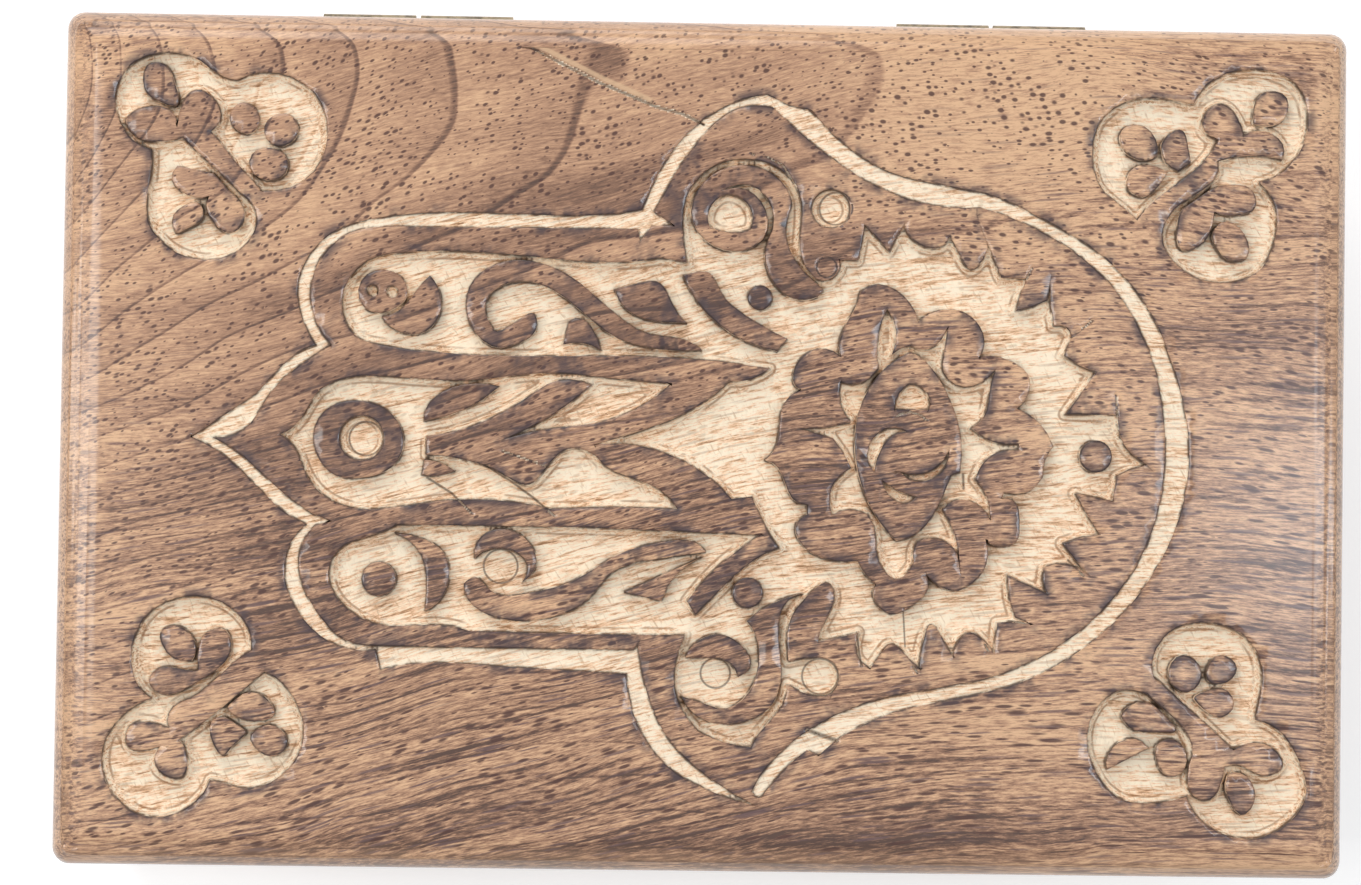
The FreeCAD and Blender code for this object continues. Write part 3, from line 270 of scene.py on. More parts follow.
class GrainGroup:
    """The solid grain of a board: year rings, fibres, streaks and pores.

    Lengths are in millimetres, and scales in cells a millimetre, first along
    the fibres and then across them.
    """

    name = "board_grain"
    sockets = {
        "INPUT": {"Place": "Vector", "Heart": "Float"},
        "OUTPUT": {"Rings": "Float", "Bands": "Float", "Streaks": "Float", "Fibres": "Float",
                   "Pores": "Float", "Spindles": "Float", "Fibre Place": "Vector"},
    }
    board_top = 64.0
    ring_width = 3.9
    drift_terms = (1.28e-7, -1.34e-5, -1.75e-3, 0.225)
    sway_reach = 6.0
    wave_reach = 2.0
    wave_scale = (0.04, 0.09)
    band_scale = (0.014, 0.16)
    streak_scale = (0.05, 1.5)
    fibre_scale = (0.5, 4.0)
    spindle_scale = (0.14, 2.0)
    spindle_size = 0.46
    pore_scale = 1.6
    pore_size = 0.47

    def __init__(self) -> None:
        """Make the empty group and split the place that it is given."""
        self.tree = bpy.data.node_groups.new(self.name, "ShaderNodeTree")
        for way, labels in self.sockets.items():
            for label, kind in labels.items():
                self.tree.interface.new_socket(label, in_out=way, socket_type="NodeSocket" + kind)
        self.w = Wiring(self.tree)
        self.given = self.tree.nodes.new("NodeGroupInput").outputs
        self.across, self.along, self.up = self.w.parts(self.given["Place"])
        slow = self.w.minus(self.w.cloud(self.given["Place"], 0.03, 2.0), 0.5)
        self.sway = self.w.times(slow, self.sway_reach)

    @classmethod
    def shared(cls) -> NodeTree:
        """Return the group, which is made once for all the wood."""
        if cls.name in bpy.data.node_groups:
            return bpy.data.node_groups[cls.name]
        return cls().build()

    def build(self) -> NodeTree:
        """Work out all that the group gives.

        Returns:
            The group, which reads a place in millimetres.
        """
        w, side = self.w, self.side()
        axes = (self.across, side, self.up)
        pores = w.point(self.pore_cells(), w.times(side, self.pore_scale),
                        w.times(self.up, self.pore_scale))
        crowding = w.span(w.cloud(self.given["Place"], 0.11, 2.0), 0.38, 0.60, 0.62, 1.08)
        made = {
            "Rings": self.rings(),
            "Bands": w.cloud(w.stretch(axes, *self.band_scale), rough=0.6),
            "Streaks": w.span(w.cloud(w.stretch(axes, *self.streak_scale)), 0.50, 0.68),
            "Fibres": w.cloud(w.stretch(axes, *self.fibre_scale), rough=0.75),
            "Pores": self.vessels(pores, w.times(crowding, self.pore_size)),
            "Spindles": self.vessels(w.stretch(axes, *self.spindle_scale), self.spindle_size),
            "Fibre Place": w.point(*axes),
        }
        leaving = self.tree.nodes.new("NodeGroupOutput")
        for label, socket in made.items():
            w.feed(leaving.inputs[label], socket)
        return self.tree

    def side(self) -> NodeSocket:
        """Measure across fibres that climb to the right, most in the middle.

        Returns:
            The place across the fibres.
        """
        w = self.w
        slope, *terms = self.drift_terms
        for term in terms:
            slope = w.scaled(self.across, slope, term)
        side = w.minus(self.along, w.times(slope, self.across))
        side = w.plus(side, w.times(self.sway, 0.25))
        wave = w.cloud(w.stretch((self.across, side, self.up), *self.wave_scale), detail=1.0)
        return w.plus(side, w.scaled(wave, 2 * self.wave_reach, -self.wave_reach))

    def pore_cells(self) -> NodeSocket:
        """Count the pores along the fibres: longer in front than at the back."""
        w, across = self.w, self.across
        count = w.times(across, w.scaled(self.along, 0.0085, 0.68))
        return w.plus(count, w.times(w.times(across, across), -0.0019))

    def vessels(self, vector: object, size: object) -> NodeSocket:
        """Scatter dark vessels, long or short as the given vector is stretched.

        Args:
            vector: the stretched place.
            size: the greatest radius in the stretched space.

        Returns:
            A mask, one within a vessel.
        """
        w, smallest, core = self.w, 0.35, 0.6
        cell = w.node("TexVoronoi", voronoi_dimensions="3D", feature="F1")
        w.fill(cell, {"Vector": vector, "Scale": 1.0, "Randomness": 0.9})
        chance = w.node("SeparateColor", cell.outputs["Color"])
        radius = w.times(w.scaled(chance.outputs[0], 1 - smallest, smallest), size)
        return w.over(w.minus(radius, cell.outputs["Distance"]),
                      w.minus(radius, w.times(radius, core)), clamp=True)

    def rings(self) -> NodeSocket:
        """Work out how far each place lies into its year ring.

        The heart of the trunk runs along the board above its top and rises
        out of it to the left, which gives the arcs in the upper left corner.
        To the right the rings fade.

        Returns:
            The darkness of the late wood, from nought to one.
        """
        w, across = self.w, self.across
        fall = w.calc("EXPONENT", w.over(w.plus(across, 70.0), -35.0))
        square = w.plus(w.scaled(across, 8.0, 2100.0), w.times(fall, -1190.0))
        height = w.plus(w.root(w.larger(square, 4.0)), w.minus(self.board_top, self.up))
        width = w.minus(self.along, self.given["Heart"])
        far = w.root(w.plus(w.times(height, height), w.times(width, width)))
        part = w.calc("FRACT", w.over(w.plus(far, self.sway), self.ring_width))
        line = w.times(w.span(part, 0.88, 0.955), w.span(part, 0.97, 1.0, 1.0, 0.0))
        soft = w.times(w.span(part, 0.1, 0.9, 0.0, 0.3), w.span(part, 0.95, 1.0, 1.0, 0.0))
        return w.times(w.larger(line, soft), w.span(across, -2.0, 20.0, 1.0, 0.65))


@dataclass(frozen=True)
class WoodFinish:
    """A board's colours, from pale to dark, and how its surface is finished."""

    name: str
    light: str
    middle: str
    deep: str
    dark: str
    pore: str
    vein: str = "6a5354"
    vein_depth: float = 1.0
    base: float = 0.46
    ring: float = 0.34
    streak: float = 0.20
    fibre: float = 1.7
    band: float = 0.6
    contrast: float = 1.55
    pore_depth: float = 0.9
    rough: float = 0.42
    lacquer: float = 0.8
    heart: float = 43.0
    shift: tuple[float, float, float] = (0.0, 0.0, 0.0)
    turn: float = 0.0

    def colour(self, w: Wiring, grain: Node) -> NodeSocket:
        """Lay rings, streaks, fibres and bands over each other into one colour.

        Args:
            w: the material's wiring.
            grain: the grain group's node.

        Returns:
            The colour without its pores.
        """
        given = grain.outputs
        force = self.stain_depth(w, given["Fibre Place"])
        calm = self.calm(w, given["Fibre Place"])
        fibres = w.scaled(given["Fibres"], self.fibre, -self.fibre / 2)
        bands = w.minus(given["Bands"], 0.5)
        streaks = w.times(given["Streaks"], calm)
        dark = w.scaled(given["Rings"], w.scaled(calm, -0.09, self.ring), 0.11)
        dark = w.scaled(streaks, w.scaled(force, 0.24, self.streak), dark)
        dark = w.scaled(fibres, w.scaled(calm, 0.5, 0.5), dark)
        dark = w.plus(dark, w.scaled(calm, -0.07, 0.07))
        dark = w.scaled(bands, w.scaled(force, self.band, self.band), dark)
        dark = w.scaled(force, 0.19, dark)
        dark = w.scaled(w.minus(dark, 0.3), self.contrast, self.base, clamp=True)
        colour = w.ramp(dark, ((0.0, self.light), (0.33, self.middle), (0.66, self.deep),
                               (1.0, self.dark)))
        veins = w.times(w.times(given["Spindles"], calm), w.scaled(force, 0.25, 0.6))
        return w.blend(w.times(veins, self.vein_depth), colour, tone(self.vein))

    def calm(self, w: Wiring, place: NodeSocket) -> object:
        """Say how streaky each place is: evenly on a plain board."""
        return 1.0

    def stain_depth(self, w: Wiring, place: NodeSocket) -> object:
        """Say how strongly each place took the stain: evenly on a plain board."""
        return 0.0

    def build(self) -> Material:
        """Make the material.

        Returns:
            The finished material.
        """
        material, w, shader = new_material(self.name)
        grain = w.node("Group", node_tree=GrainGroup.shared())
        place = w.mapped(w.place(), (1 / MM,) * 3, self.shift, self.turn)
        w.fill(grain, {"Place": place, "Heart": self.heart})
        pores = w.times(grain.outputs["Pores"], self.pore_depth)
        colour = w.blend(pores, self.colour(w, grain), tone(self.pore))
        w.fill(shader, {
            "Base Color": self.wear(w, grain, colour),
            "Roughness": w.scaled(grain.outputs["Fibres"], 0.18, self.rough - 0.09),
            "Coat Weight": self.lacquer,
            "Coat Roughness": 0.17,
            "Specular IOR Level": 0.2,
        })
        self.relief(w, grain, shader)
        return material

    def wear(self, w: Wiring, grain: Node, colour: NodeSocket) -> NodeSocket:
        """Return the colour as it is: plain boards have no tooled edges."""
        return colour

    def relief(self, w: Wiring, grain: Node, shader: Node) -> None:
        """Raise the fibres a little over a gentle swell.

        Args:
            w: the material's wiring.
            grain: the grain group's node.
            shader: the material's shader.
        """
        place = grain.inputs["Place"].links[0].from_socket
        threads = w.cloud(w.mapped(place, (0.5, 4.0, 4.0)), detail=2.0, rough=0.7)
        height = w.scaled(w.cloud(place, 0.12, 0.0), 3.0, w.times(threads, 0.6))
        w.bump(shader, height, 0.55, 0.06)


@dataclass(frozen=True)
class StainedTop(WoodFinish):
    """Stained and lacquered wood whose stain gathered along the cut edges, with a dark line along
    the edges and cuts that is partly stain and partly painted shade.
    """

    edge: str = "4a3d42"
    lip: str = "dab691"
    # Colour of the dark line at the edges and cuts: partly stain, partly painted shade.
    cut: str = "3a2c2a"
    rounded: tuple[float, float, float] = (72.2, 46.6, 2.6)

    def stain_depth(self, w: Wiring, place: NodeSocket) -> NodeSocket:
        """Deepen the stain in front, within the hand and at the right; thin it at the back.

        Args:
            w: the material's wiring.
            place: the place along the fibres, in millimetres.

        Returns:
            The depth of the stain, one at its deepest and below nought where it is thin.
        """
        across, side, _ = w.parts(place)
        front = w.times(w.span(side, -48.0, -14.0, 1.0, 0.0), w.span(across, 12.0, 48.0, 1.0, 0.25))
        hand = w.span(w.ellipse(place, (-15.18, -1.8), (46, 36)), 0.7, 1.35, 0.9, 0.0)
        pale = w.times(w.span(across, -5.0, 30.0, 0.0, 0.6), w.span(side, 14.0, 34.0))
        right = w.span(across, 42.0, 60.0, 0.0, 0.45)
        return w.minus(w.larger(w.larger(front, hand), right), pale)

    def calm(self, w: Wiring, place: NodeSocket) -> NodeSocket:
        """Keep the upper left, where the rings show, almost free of streaks."""
        return w.span(w.ellipse(place, (-24.18, 39.9), (62, 42)), 0.55, 1.15, 0.15, 1.0)

    def wear(self, w: Wiring, grain: Node, colour: NodeSocket) -> NodeSocket:
        """Darken the stain in patches along the carved edges, and paint a dark line along the edges
        and the knife cuts, partly stain residue and partly painted shade of the hollows.

        Args:
            w: the material's wiring.
            grain: the grain group's node.
            colour: the colour so far.

        Returns:
            The darkened colour.
        """
        edge = w.rim(Rim.EDGE)
        patches = w.cloud(grain.outputs["Fibre Place"], 0.32, 3.0, 0.6)
        smudge = w.times(w.span(edge, 0.05, 1.4, 1.0, 0.0), w.span(patches, 0.42, 0.64))
        colour = w.blend(w.times(smudge, 0.85), colour, tone(self.edge))
        colour = w.blend(self.worn_edge(w), colour, tone(self.light))
        colour = w.blend(w.span(w.rim(Rim.SLIVER), 0.06, 0.2, 0.7, 0.0), colour, tone(self.lip))
        # Dark line at the carved edges and along the knife cuts, crack and rings: painted shade of
        # the hollows beside them, partly stain residue.
        line = w.times(w.span(edge, 0.04, 0.17, 1.0, 0.0), w.span(patches, 0.42, 0.62, 0.1, 0.85))
        line = w.larger(line, w.span(w.rim(Rim.CUT), 0.06, 0.22, 0.85, 0.0))
        return w.blend(line, colour, tone(self.cut))

    def worn_edge(self, w: Wiring) -> NodeSocket:
        """Rub the stain thin on the rounded edge all round the lid.

        Args:
            w: the material's wiring.

        Returns:
            How far the stain has gone, from nought to one.
        """
        length, width, reach = (part * MM for part in self.rounded)
        across, along, _ = w.parts(w.place())
        side = w.minus(w.size(across), length)
        end = w.minus(w.size(along), width)
        return w.span(w.larger(side, end), 0.0, reach, 0.0, 0.2)


@dataclass(frozen=True)
class RawCarving(WoodFinish):
    """Pale wood that the gouge laid bare, with tool marks, and painted shade in its corners and
    along the feet of its walls.
    """

    # Colour of the painted shade on the floor beside its walls.
    corner: str = "a07c5e"
    chatter: str = "b98c64"
    stop: str = "9a6f4d"
    # Colour of the dark line at the foot of each wall and along the cuts: partly painted shade,
    # partly burn and stain.
    cut: str = "4b3a31"

    def wear(self, w: Wiring, grain: Node, colour: NodeSocket) -> NodeSocket:
        """Draw the tool's marks, paint shade on the floor beside the walls, and paint the dark line
        at the foot of each wall, which is partly painted shade and partly burn and stain.

        Args:
            w: the material's wiring.
            grain: the grain group's node.
            colour: the colour so far.

        Returns:
            The colour with its marks and dark corners.
        """
        place = grain.outputs["Fibre Place"]
        edge = w.rim(Rim.EDGE)
        patches = w.cloud(place, 0.45, 3.0, 0.6)
        # Painted shade in patches on the floor beside the walls.
        soft = w.times(w.span(edge, 0.1, 0.6, 1.0, 0.0), w.span(patches, 0.4, 0.7))
        colour = w.blend(w.times(soft, 0.35), colour, tone(self.corner))
        across, side, _ = w.parts(place)
        lean = w.scaled(side, 0.5, across)
        marks = w.cloud(w.point(w.times(lean, 2.6), w.times(side, 0.5), 0.0), rough=0.6)
        colour = w.blend(w.span(marks, 0.56, 0.72, 0.0, 0.5), colour, tone(self.chatter))
        broken = w.cloud(place, 0.22, 2.0, 0.6)
        stop = w.times(w.span(w.size(w.rim(Rim.STOP)), 0.05, 0.2, 1.0, 0.0),
                       w.span(broken, 0.44, 0.56, 0.0, 0.65))
        colour = w.blend(stop, colour, tone(self.stop))
        # Dark line at the foot of each wall and along the knife cuts: painted shade of the crease
        # and the cut, partly burn and stain.
        line = w.times(w.span(edge, 0.06, 0.28, 1.0, 0.0), w.span(patches, 0.36, 0.54, 0.1, 0.88))
        line = w.larger(line, w.span(w.rim(Rim.CUT), 0.06, 0.22, 0.7, 0.0))
        return w.blend(line, colour, tone(self.cut))

    def relief(self, w: Wiring, grain: Node, shader: Node) -> None:
        """Mark the floor with the short strokes of the gouge."""
        lean = w.mapped(w.place(), (1.5 / MM, 0.6 / MM, 1.0), turn=math.radians(39.0))
        w.bump(shader, w.times(w.cloud(lean, detail=2.0, rough=0.65), 2.6), 0.7, 0.12)


def lid_finishes() -> tuple[WoodFinish, WoodFinish]:
    """Return the finishes of the lid's uncut top and of its carving."""
    top = StainedTop(name="stained_lid_wood", light="e4b992", middle="c09577", deep="8f6b56",
                     dark="5d463d", pore="553832")
    carving = RawCarving(name="raw_carved_wood", light="ffeed4", middle="fad3af", deep="d3a883",
                         dark="97704f", pore="a67f5a", pore_depth=0.3, rough=0.62,
                         lacquer=0.0, base=0.32, fibre=2.3, vein="a0775c", vein_depth=0.6)
    return top, carving


@dataclass(frozen=True)
class AgedBrass:
    """Dull brass with darker tarnish and fine scratches."""

    name: str
    bright: str = "a8977a"
    tarnish: str = "6f6350"
    rough: float = 0.42

    def build(self) -> Material:
        """Make the material.

        Returns:
            The finished material.
        """
        material, w, shader = new_material(self.name)
        spots = w.cloud(w.place(), 0.9 / MM, 5.0, 0.62)
        stain = w.span(spots, 0.42, 0.66)
        w.fill(shader, {
            "Base Color": w.blend(stain, tone(self.bright), tone(self.tarnish)),
            "Metallic": w.span(stain, 0.0, 1.0, 0.95, 0.55),
            "Roughness": w.scaled(spots, 0.35, self.rough - 0.15),
        })
        scratches = w.cloud(w.mapped(w.place(), (0.6 / MM, 9.0 / MM, 9.0 / MM)), detail=2.0)
        w.bump(shader, scratches, 0.25, 0.02)
        return material


def pick(piece: Object) -> None:
    """Select one piece only and make it active."""
    bpy.ops.object.select_all(action="DESELECT")
    piece.select_set(True)
    bpy.context.view_layer.objects.active = piece


@contextmanager
def editing(piece: Object, kind: str) -> Iterator[None]:
    """Open a piece in edit mode.

    Args:
        piece: the piece.
        kind: what is selected, VERT, EDGE or FACE.

    Yields:
        Nothing, while the piece is open.
    """
    pick(piece)
    bpy.ops.object.mode_set(mode="EDIT")
    bpy.ops.mesh.select_mode(type=kind)
    yield
    bpy.ops.mesh.select_all(action="DESELECT")
    bpy.ops.object.mode_set(mode="OBJECT")


def mark(piece: Object, kind: str, wanted: Callable) -> None:
    """Select what a test wants of the piece in edit mode.

    Args:
        piece: the piece.
        kind: edges or faces.
        wanted: the test.
    """
    mesh = bmesh.from_edit_mesh(piece.data)
    for part in getattr(mesh, kind):
        part.select_set(wanted(part))
    bmesh.update_edit_mesh(piece.data)


def connected(parts: Iterable, beside: Callable) -> Iterator[list]:
    """Sort faces or edges into groups that hang together.

    Args:
        parts: the faces or edges.
        beside: lists the neighbours of one of them.

    Yields:
        Each group.
    """
    waiting = dict.fromkeys(parts)
    while waiting:
        first = next(iter(waiting))
        del waiting[first]
        group, heap = [first], [first]
        while heap:
            for other in beside(heap.pop()):
                if other in waiting:
                    del waiting[other]
                    group.append(other)
                    heap.append(other)
        yield group


def tree_of(points: list[Vector]) -> kdtree.KDTree:
    """Sort points for a quick search of the nearest.

    Args:
        points: the points.

    Returns:
        The tree that finds them.
    """
    tree = kdtree.KDTree(len(points))
    for number, point in enumerate(points):
        tree.insert(point, number)
    tree.balance()
    return tree


def store(piece: Object, rim: Rim, values: list[float]) -> None:
    """Keep a distance in millimetres with each vertex of a piece."""
    attribute = piece.data.attributes.new(rim.value, "FLOAT", "POINT")
    attribute.data.foreach_set("value", values)


def soften(piece: Object, angle: float = 30.0) -> None:
    """Shade a piece smooth up to an angle in degrees."""
    pick(piece)
    bpy.ops.object.shade_smooth_by_angle(angle=math.radians(angle))


def dress(piece: Object, *materials: Material) -> None:
    """Give a piece its materials, in the order of its slots."""
    piece.data.materials.clear()
    for material in materials:
        piece.data.materials.append(material)


class Bench:
    """Makes working copies of the model's nodes."""

    def __init__(self, nodes: dict[str, Object]) -> None:
        """Keep the model's nodes by name."""
        self.nodes = nodes

    def copy(self, node: str, name: str) -> Object:
        """Copy a node, join its loose triangles and merge its flat faces.

        Args:
            node: the node's name.
            name: the piece's name.

        Returns:
            The copy, active and in object mode.
        """
        piece = self.nodes[node].copy()
        piece.data = self.nodes[node].data.copy()
        piece.parent = None
        piece.name = piece.data.name = name
        for key in list(piece.keys()):
            del piece[key]
        bpy.context.scene.collection.objects.link(piece)
        with editing(piece, "VERT"):
            bpy.ops.mesh.select_all(action="SELECT")
            bpy.ops.mesh.remove_doubles(threshold=0.001 * MM)
            bpy.ops.mesh.dissolve_limited(angle_limit=math.radians(0.1))
        return piece

    def ease(self, node: str, name: str, width: float) -> Object:
        """Copy a node and round its sharp edges.

        Args:
            node: the node's name.
            name: the piece's name.
            width: how far the rounding reaches, in metres.

        Returns:
            The eased copy.
        """
        piece = self.copy(node, name)
        rounding = piece.modifiers.new("eased", "BEVEL")
        rounding.width = width
        rounding.segments = 2
        rounding.limit_method = "ANGLE"
        rounding.angle_limit = math.radians(40.0)
        bpy.ops.object.modifier_apply(modifier=rounding.name)
        soften(piece)
        return piece


@dataclass(frozen=True)
class Scratch:
    """A line that the knife left beside its outline, or a crack in the wood.

    Places are in millimetres from the lid's middle.
    """

    points: tuple[tuple[float, float], ...]
    width: float = 0.16
    depth: float = 0.22

    @classmethod
    def ring(cls, centre: tuple[float, float], radius: float, steps: int = 28) -> "Scratch":
        """Scribe a circle, as a hollow gouge turned on the spot leaves it."""
        angles = [step * math.tau / steps for step in range(steps + 1)]
        return cls(tuple((centre[0] + radius * math.cos(angle), centre[1] + radius * math.sin(angle))
                         for angle in angles), 0.14, 0.12)

    def dots(self, height: float, gap: float = 0.1) -> list[Vector]:
        """Place close points along the line.

        Args:
            height: how high they lie, in metres.
            gap: how far they lie apart, in millimetres.

        Returns:
            The points, in metres.
        """
        dots = []
        for start, end in zip(self.points, self.points[1:]):
            begin, finish = Vector(start), Vector(end)
            count = max(1, round((finish - begin).length / gap))
            dots += [begin.lerp(finish, step / count) for step in range(count + 1)]
        return [Vector((dot.x * MM, dot.y * MM, height)) for dot in dots]


CRACK = Scratch(((-26, 47.3), (-21.1, 46.4), (-17.3, 44.5), (-13, 42.4), (-9.5, 41), (-6.4, 39.7),
                 (-3.2, 38.9), (-0.7, 37.7)), 0.2, 0.3)
CRACK_LIP = Scratch(((-20.5, 46.8), (-17.1, 45.1), (-12.8, 43.0), (-9.3, 41.5), (-6.9, 40.4)),
                    0.35, 0.0)
RINGS = ((-39.8, 0.15, 2.0), (-23.8, -14.6, 2.0), (15.05, 28.1, 1.9), (1.6, -26.8, 1.75),
         (13.9, -27, 2.1), (14, 21.1, 1.2))
KNIFE_LINES = (
    ((-23.8, -1.1), (-18.6, -2.8)),
    ((-32.6, -4.3), (-29.7, -6.1), (-27.2, -8.5)),
    ((-25.7, -2.8), (-22.6, -4.7), (-20.1, -6.5), (-17.6, -8.6)),
    ((48.3, 6.5), (48.5, 4)), ((51.9, -1.6), (52.7, -2.4)), ((43, 13.3), (45.5, 15.3)),
    ((37.6, 20.1), (38.3, 21.4)), ((30.5, -3), (30.6, -4.7)),
    ((21.9, 3), (22.8, 3.9), (24, 4.2), (25.2, 3.9), (26.1, 3.2)),
    ((5, 34.3), (7, 33.9), (8.7, 33), (10, 31)),
    ((18.1, -21.8), (18.7, -25.7)), ((24.8, -25.7), (25.3, -26.5)), ((33.2, -23), (33.7, -24)),
    ((36, -20.2), (37.7, -20.4)), ((43, -13), (44.7, -14.8)),
)
SCRATCHES = (
    CRACK,
    *(Scratch.ring((across, along), radius) for across, along, radius in RINGS),
    *(Scratch(points) for points in KNIFE_LINES),
    Scratch(((12.4, -33.3), (15.9, -34.5)), 0.3),
    Scratch(((23.6, -18.9), (23.9, -23.4)), 0.12, 0.1),
)


@dataclass
class CarvedLid:
    """The lid: the carved panel and its four rails.

    Places and sizes are in metres. The stops, the wander, the slope and the
    far value are in millimetres, and the waves count noise cells a metre.
    """

    bench: Bench
    top: float = 64.0 * MM
    groove_limit: float = 1.2 * MM
    ground_depth: float = 1.4 * MM
    cut_start: float = 0.5 * MM
    cut_end: float = 1.6 * MM
    skin: float = 0.1 * MM
    carved: tuple[float, float] = (71.5 * MM, 46.0 * MM)
    top_grid: float = 1.25 * MM
    floor_grid: float = 0.62 * MM
    arris: float = 0.08 * MM
    slope: float = 0.9
    slope_waves: float = 160.0
    lift: float = 0.8
    dent: float = 0.10 * MM
    dent_waves: float = 420.0
    groove_stop: float = 0.42
    ground_stop: float = 0.75
    wander: float = 0.18
    wander_waves: float = 120.0
    far: float = 9.0
    level: float = 0.99
    body: str = "lid"
    pieces: list[Object] = field(default_factory=list)
    panel: Object = field(init=False)
    rims: kdtree.KDTree = field(init=False)
    walls: kdtree.KDTree = field(init=False)

    def build(self) -> None:
        """Build the carved panel and the rails."""
        panel = self.panel = self.bench.copy("lid_panel", "carved_panel")
        self.break_arrises()
        rims, walls = self.edge_points()
        self.rims, self.walls = tree_of(rims), tree_of(walls)
        sharp = self.sharp_points()
        self.cut_grid(self.top_grid, -self.skin, self.skin)
        self.cut_grid(self.floor_grid, self.cut_start, self.cut_end)
        self.fan_edges(rims + walls)
        self.refine(SCRATCHES + (CRACK_LIP,))
        self.measure_edges(sharp)
        self.measure_lines(Rim.SLIVER, (CRACK_LIP,))
        self.measure_lines(Rim.CUT, SCRATCHES)
        self.measure_stops()
        self.slope_rims()
        self.part_finishes()
        soften(panel, 35.0)
        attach(panel, self.body)
        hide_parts("lid_panel")
        self.pieces.append(panel)
        for side in SIDES:
            rail = self.bench.ease(f"lid_{side}_rail", f"{side}_rail_board", 0.25 * MM)
            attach(rail, self.body)
            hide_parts(f"lid_{side}_rail")
            self.pieces.append(rail)

    def break_arrises(self) -> None:
        """Take the sharpness off the upper edges of the carving."""
        def is_arris(edge: BMEdge) -> bool:
            """Tell whether an edge lies on the top, above an upright face."""
            level = all(abs(vertex.co.z - self.top) < 0.001 * MM for vertex in edge.verts)
            upright = any(abs(face.normal.z) < 0.1 for face in edge.link_faces)
            return level and upright and len(edge.link_faces) == 2

        with editing(self.panel, "EDGE"):
            mark(self.panel, "edges", is_arris)
            bpy.ops.mesh.bevel(offset=self.arris, segments=1, affect="EDGES", clamp_overlap=False)

    def edge_points(self) -> tuple[list, list]:
        """Find the feet of the carved walls.

        Returns:
            Points along the outer rim of each cleared ground, and along the
            feet of what was left standing in it.
        """
        mesh = bmesh.new()
        mesh.from_mesh(self.panel.data)
        floors = [face for face in mesh.faces
                  if face.normal.z > self.level
                  and face.calc_center_median().z < self.top - self.cut_start]
        grounds = connected(floors, lambda face: [other for edge in face.edges
                                                  for other in edge.link_faces])
        ground_of = {face: number for number, ground in enumerate(grounds) for face in ground}
        feet = [edge for edge in mesh.edges
                if sum(face in ground_of for face in edge.link_faces) == 1]
        loops: dict[int, list[list[BMEdge]]] = {}
        for loop in connected(feet, lambda edge: [other for vertex in edge.verts
                                                  for other in vertex.link_edges]):
            number = next(ground_of[face] for face in loop[0].link_faces if face in ground_of)
            loops.setdefault(number, []).append(loop)
        rims, walls = [], []
        for group in loops.values():
            outer, *inner = sorted(group, key=self.reach_of, reverse=True)
            rims += self.dotted(outer)
            walls += [point for loop in inner for point in self.dotted(loop)]
        mesh.free()
        return rims, walls

    @staticmethod
    def reach_of(loop: list[BMEdge]) -> float:
        """Return how far a loop of edges spreads in plan."""
        spreads = zip(*(vertex.co.xy for edge in loop for vertex in edge.verts))
        return sum(max(spread) - min(spread) for spread in spreads)

    @staticmethod
    def dotted(edges: list[BMEdge], gap: float = 0.2 * MM) -> list[Vector]:
        """Place points along edges.

        Args:
            edges: the edges.
            gap: how far the points lie apart, in metres.

        Returns:
            The points.
        """
        points = []
        for edge in edges:
            start, end = (vertex.co for vertex in edge.verts)
            count = max(1, round((end - start).length / gap))
            points += [start.lerp(end, step / count) for step in range(count + 1)]
        return points

    def sharp_points(self) -> list[Vector]:
        """Follow all the carved edges, in and round the grounds.

        Returns:
            Points along them.
        """
        mesh = bmesh.new()
        mesh.from_mesh(self.panel.data)
        sharp = [edge for edge in mesh.edges
                 if len(edge.link_faces) == 2 and edge.calc_face_angle(0.0) > math.radians(38)
                 and min(vertex.co.z for vertex in edge.verts) > self.top - self.cut_end
                 and max(abs(vertex.co.x) for vertex in edge.verts) < self.carved[0]
                 and max(abs(vertex.co.y) for vertex in edge.verts) < self.carved[1]]
        points = self.dotted(sharp)
        mesh.free()
        return points

    def cut_grid(self, step: float, least: float, most: float) -> None:
        """Cut the level faces between two depths into a grid.

        Args:
            step: how far the cuts lie apart, in metres.
            least: the least depth of the faces under the lid's top.
            most: the greatest depth of the faces.
        """
        start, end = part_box("lid_panel")
        offset = 0.13 * MM
        with editing(self.panel, "FACE"):
            mark(self.panel, "faces", lambda face: face.normal.z < self.level
                 or not least < self.top - face.calc_center_median().z < most)
            bpy.ops.mesh.hide(unselected=False)
            for number, axis in enumerate((Vector((1, 0, 0)), Vector((0, 1, 0)))):
                for cut in range(1, round((end[number] - start[number]) / step)):
                    place = start[number] + cut * step + offset
                    bpy.ops.mesh.select_all(action="SELECT")
                    bpy.ops.mesh.bisect(plane_co=axis * place, plane_no=axis,
                                        threshold=0.0001 * MM)
            bpy.ops.mesh.reveal(select=False)

    def fan_edges(self, feet: list) -> None:
        """Give each floor face along a carved edge a vertex at its middle.

        Distances that the vertices carry are then true between them as well.

        Args:
            feet: points along the feet of the carved walls.
        """
        tree = tree_of(feet)
        floor = self.top - self.ground_depth
        reach, largest = 0.6 * MM, (1.2 * MM) ** 2

        def is_beside(face: BMFace) -> bool:
            """Tell whether a small level face lies along a carved edge."""
            near = any(tree.find((*vertex.co.xy, floor))[2] < reach for vertex in face.verts)
            return face.normal.z > self.level and near and face.calc_area() < largest

        with editing(self.panel, "FACE"):
            mark(self.panel, "faces", is_beside)
            bpy.ops.mesh.poke()

    def refine(self, lines: tuple[Scratch, ...]) -> None:
        """Divide the level faces that a fine line runs over, then drop empty ones.

        Args:
            lines: the fine lines.
        """
        tree = tree_of([dot for line in lines for dot in line.dots(self.top)])

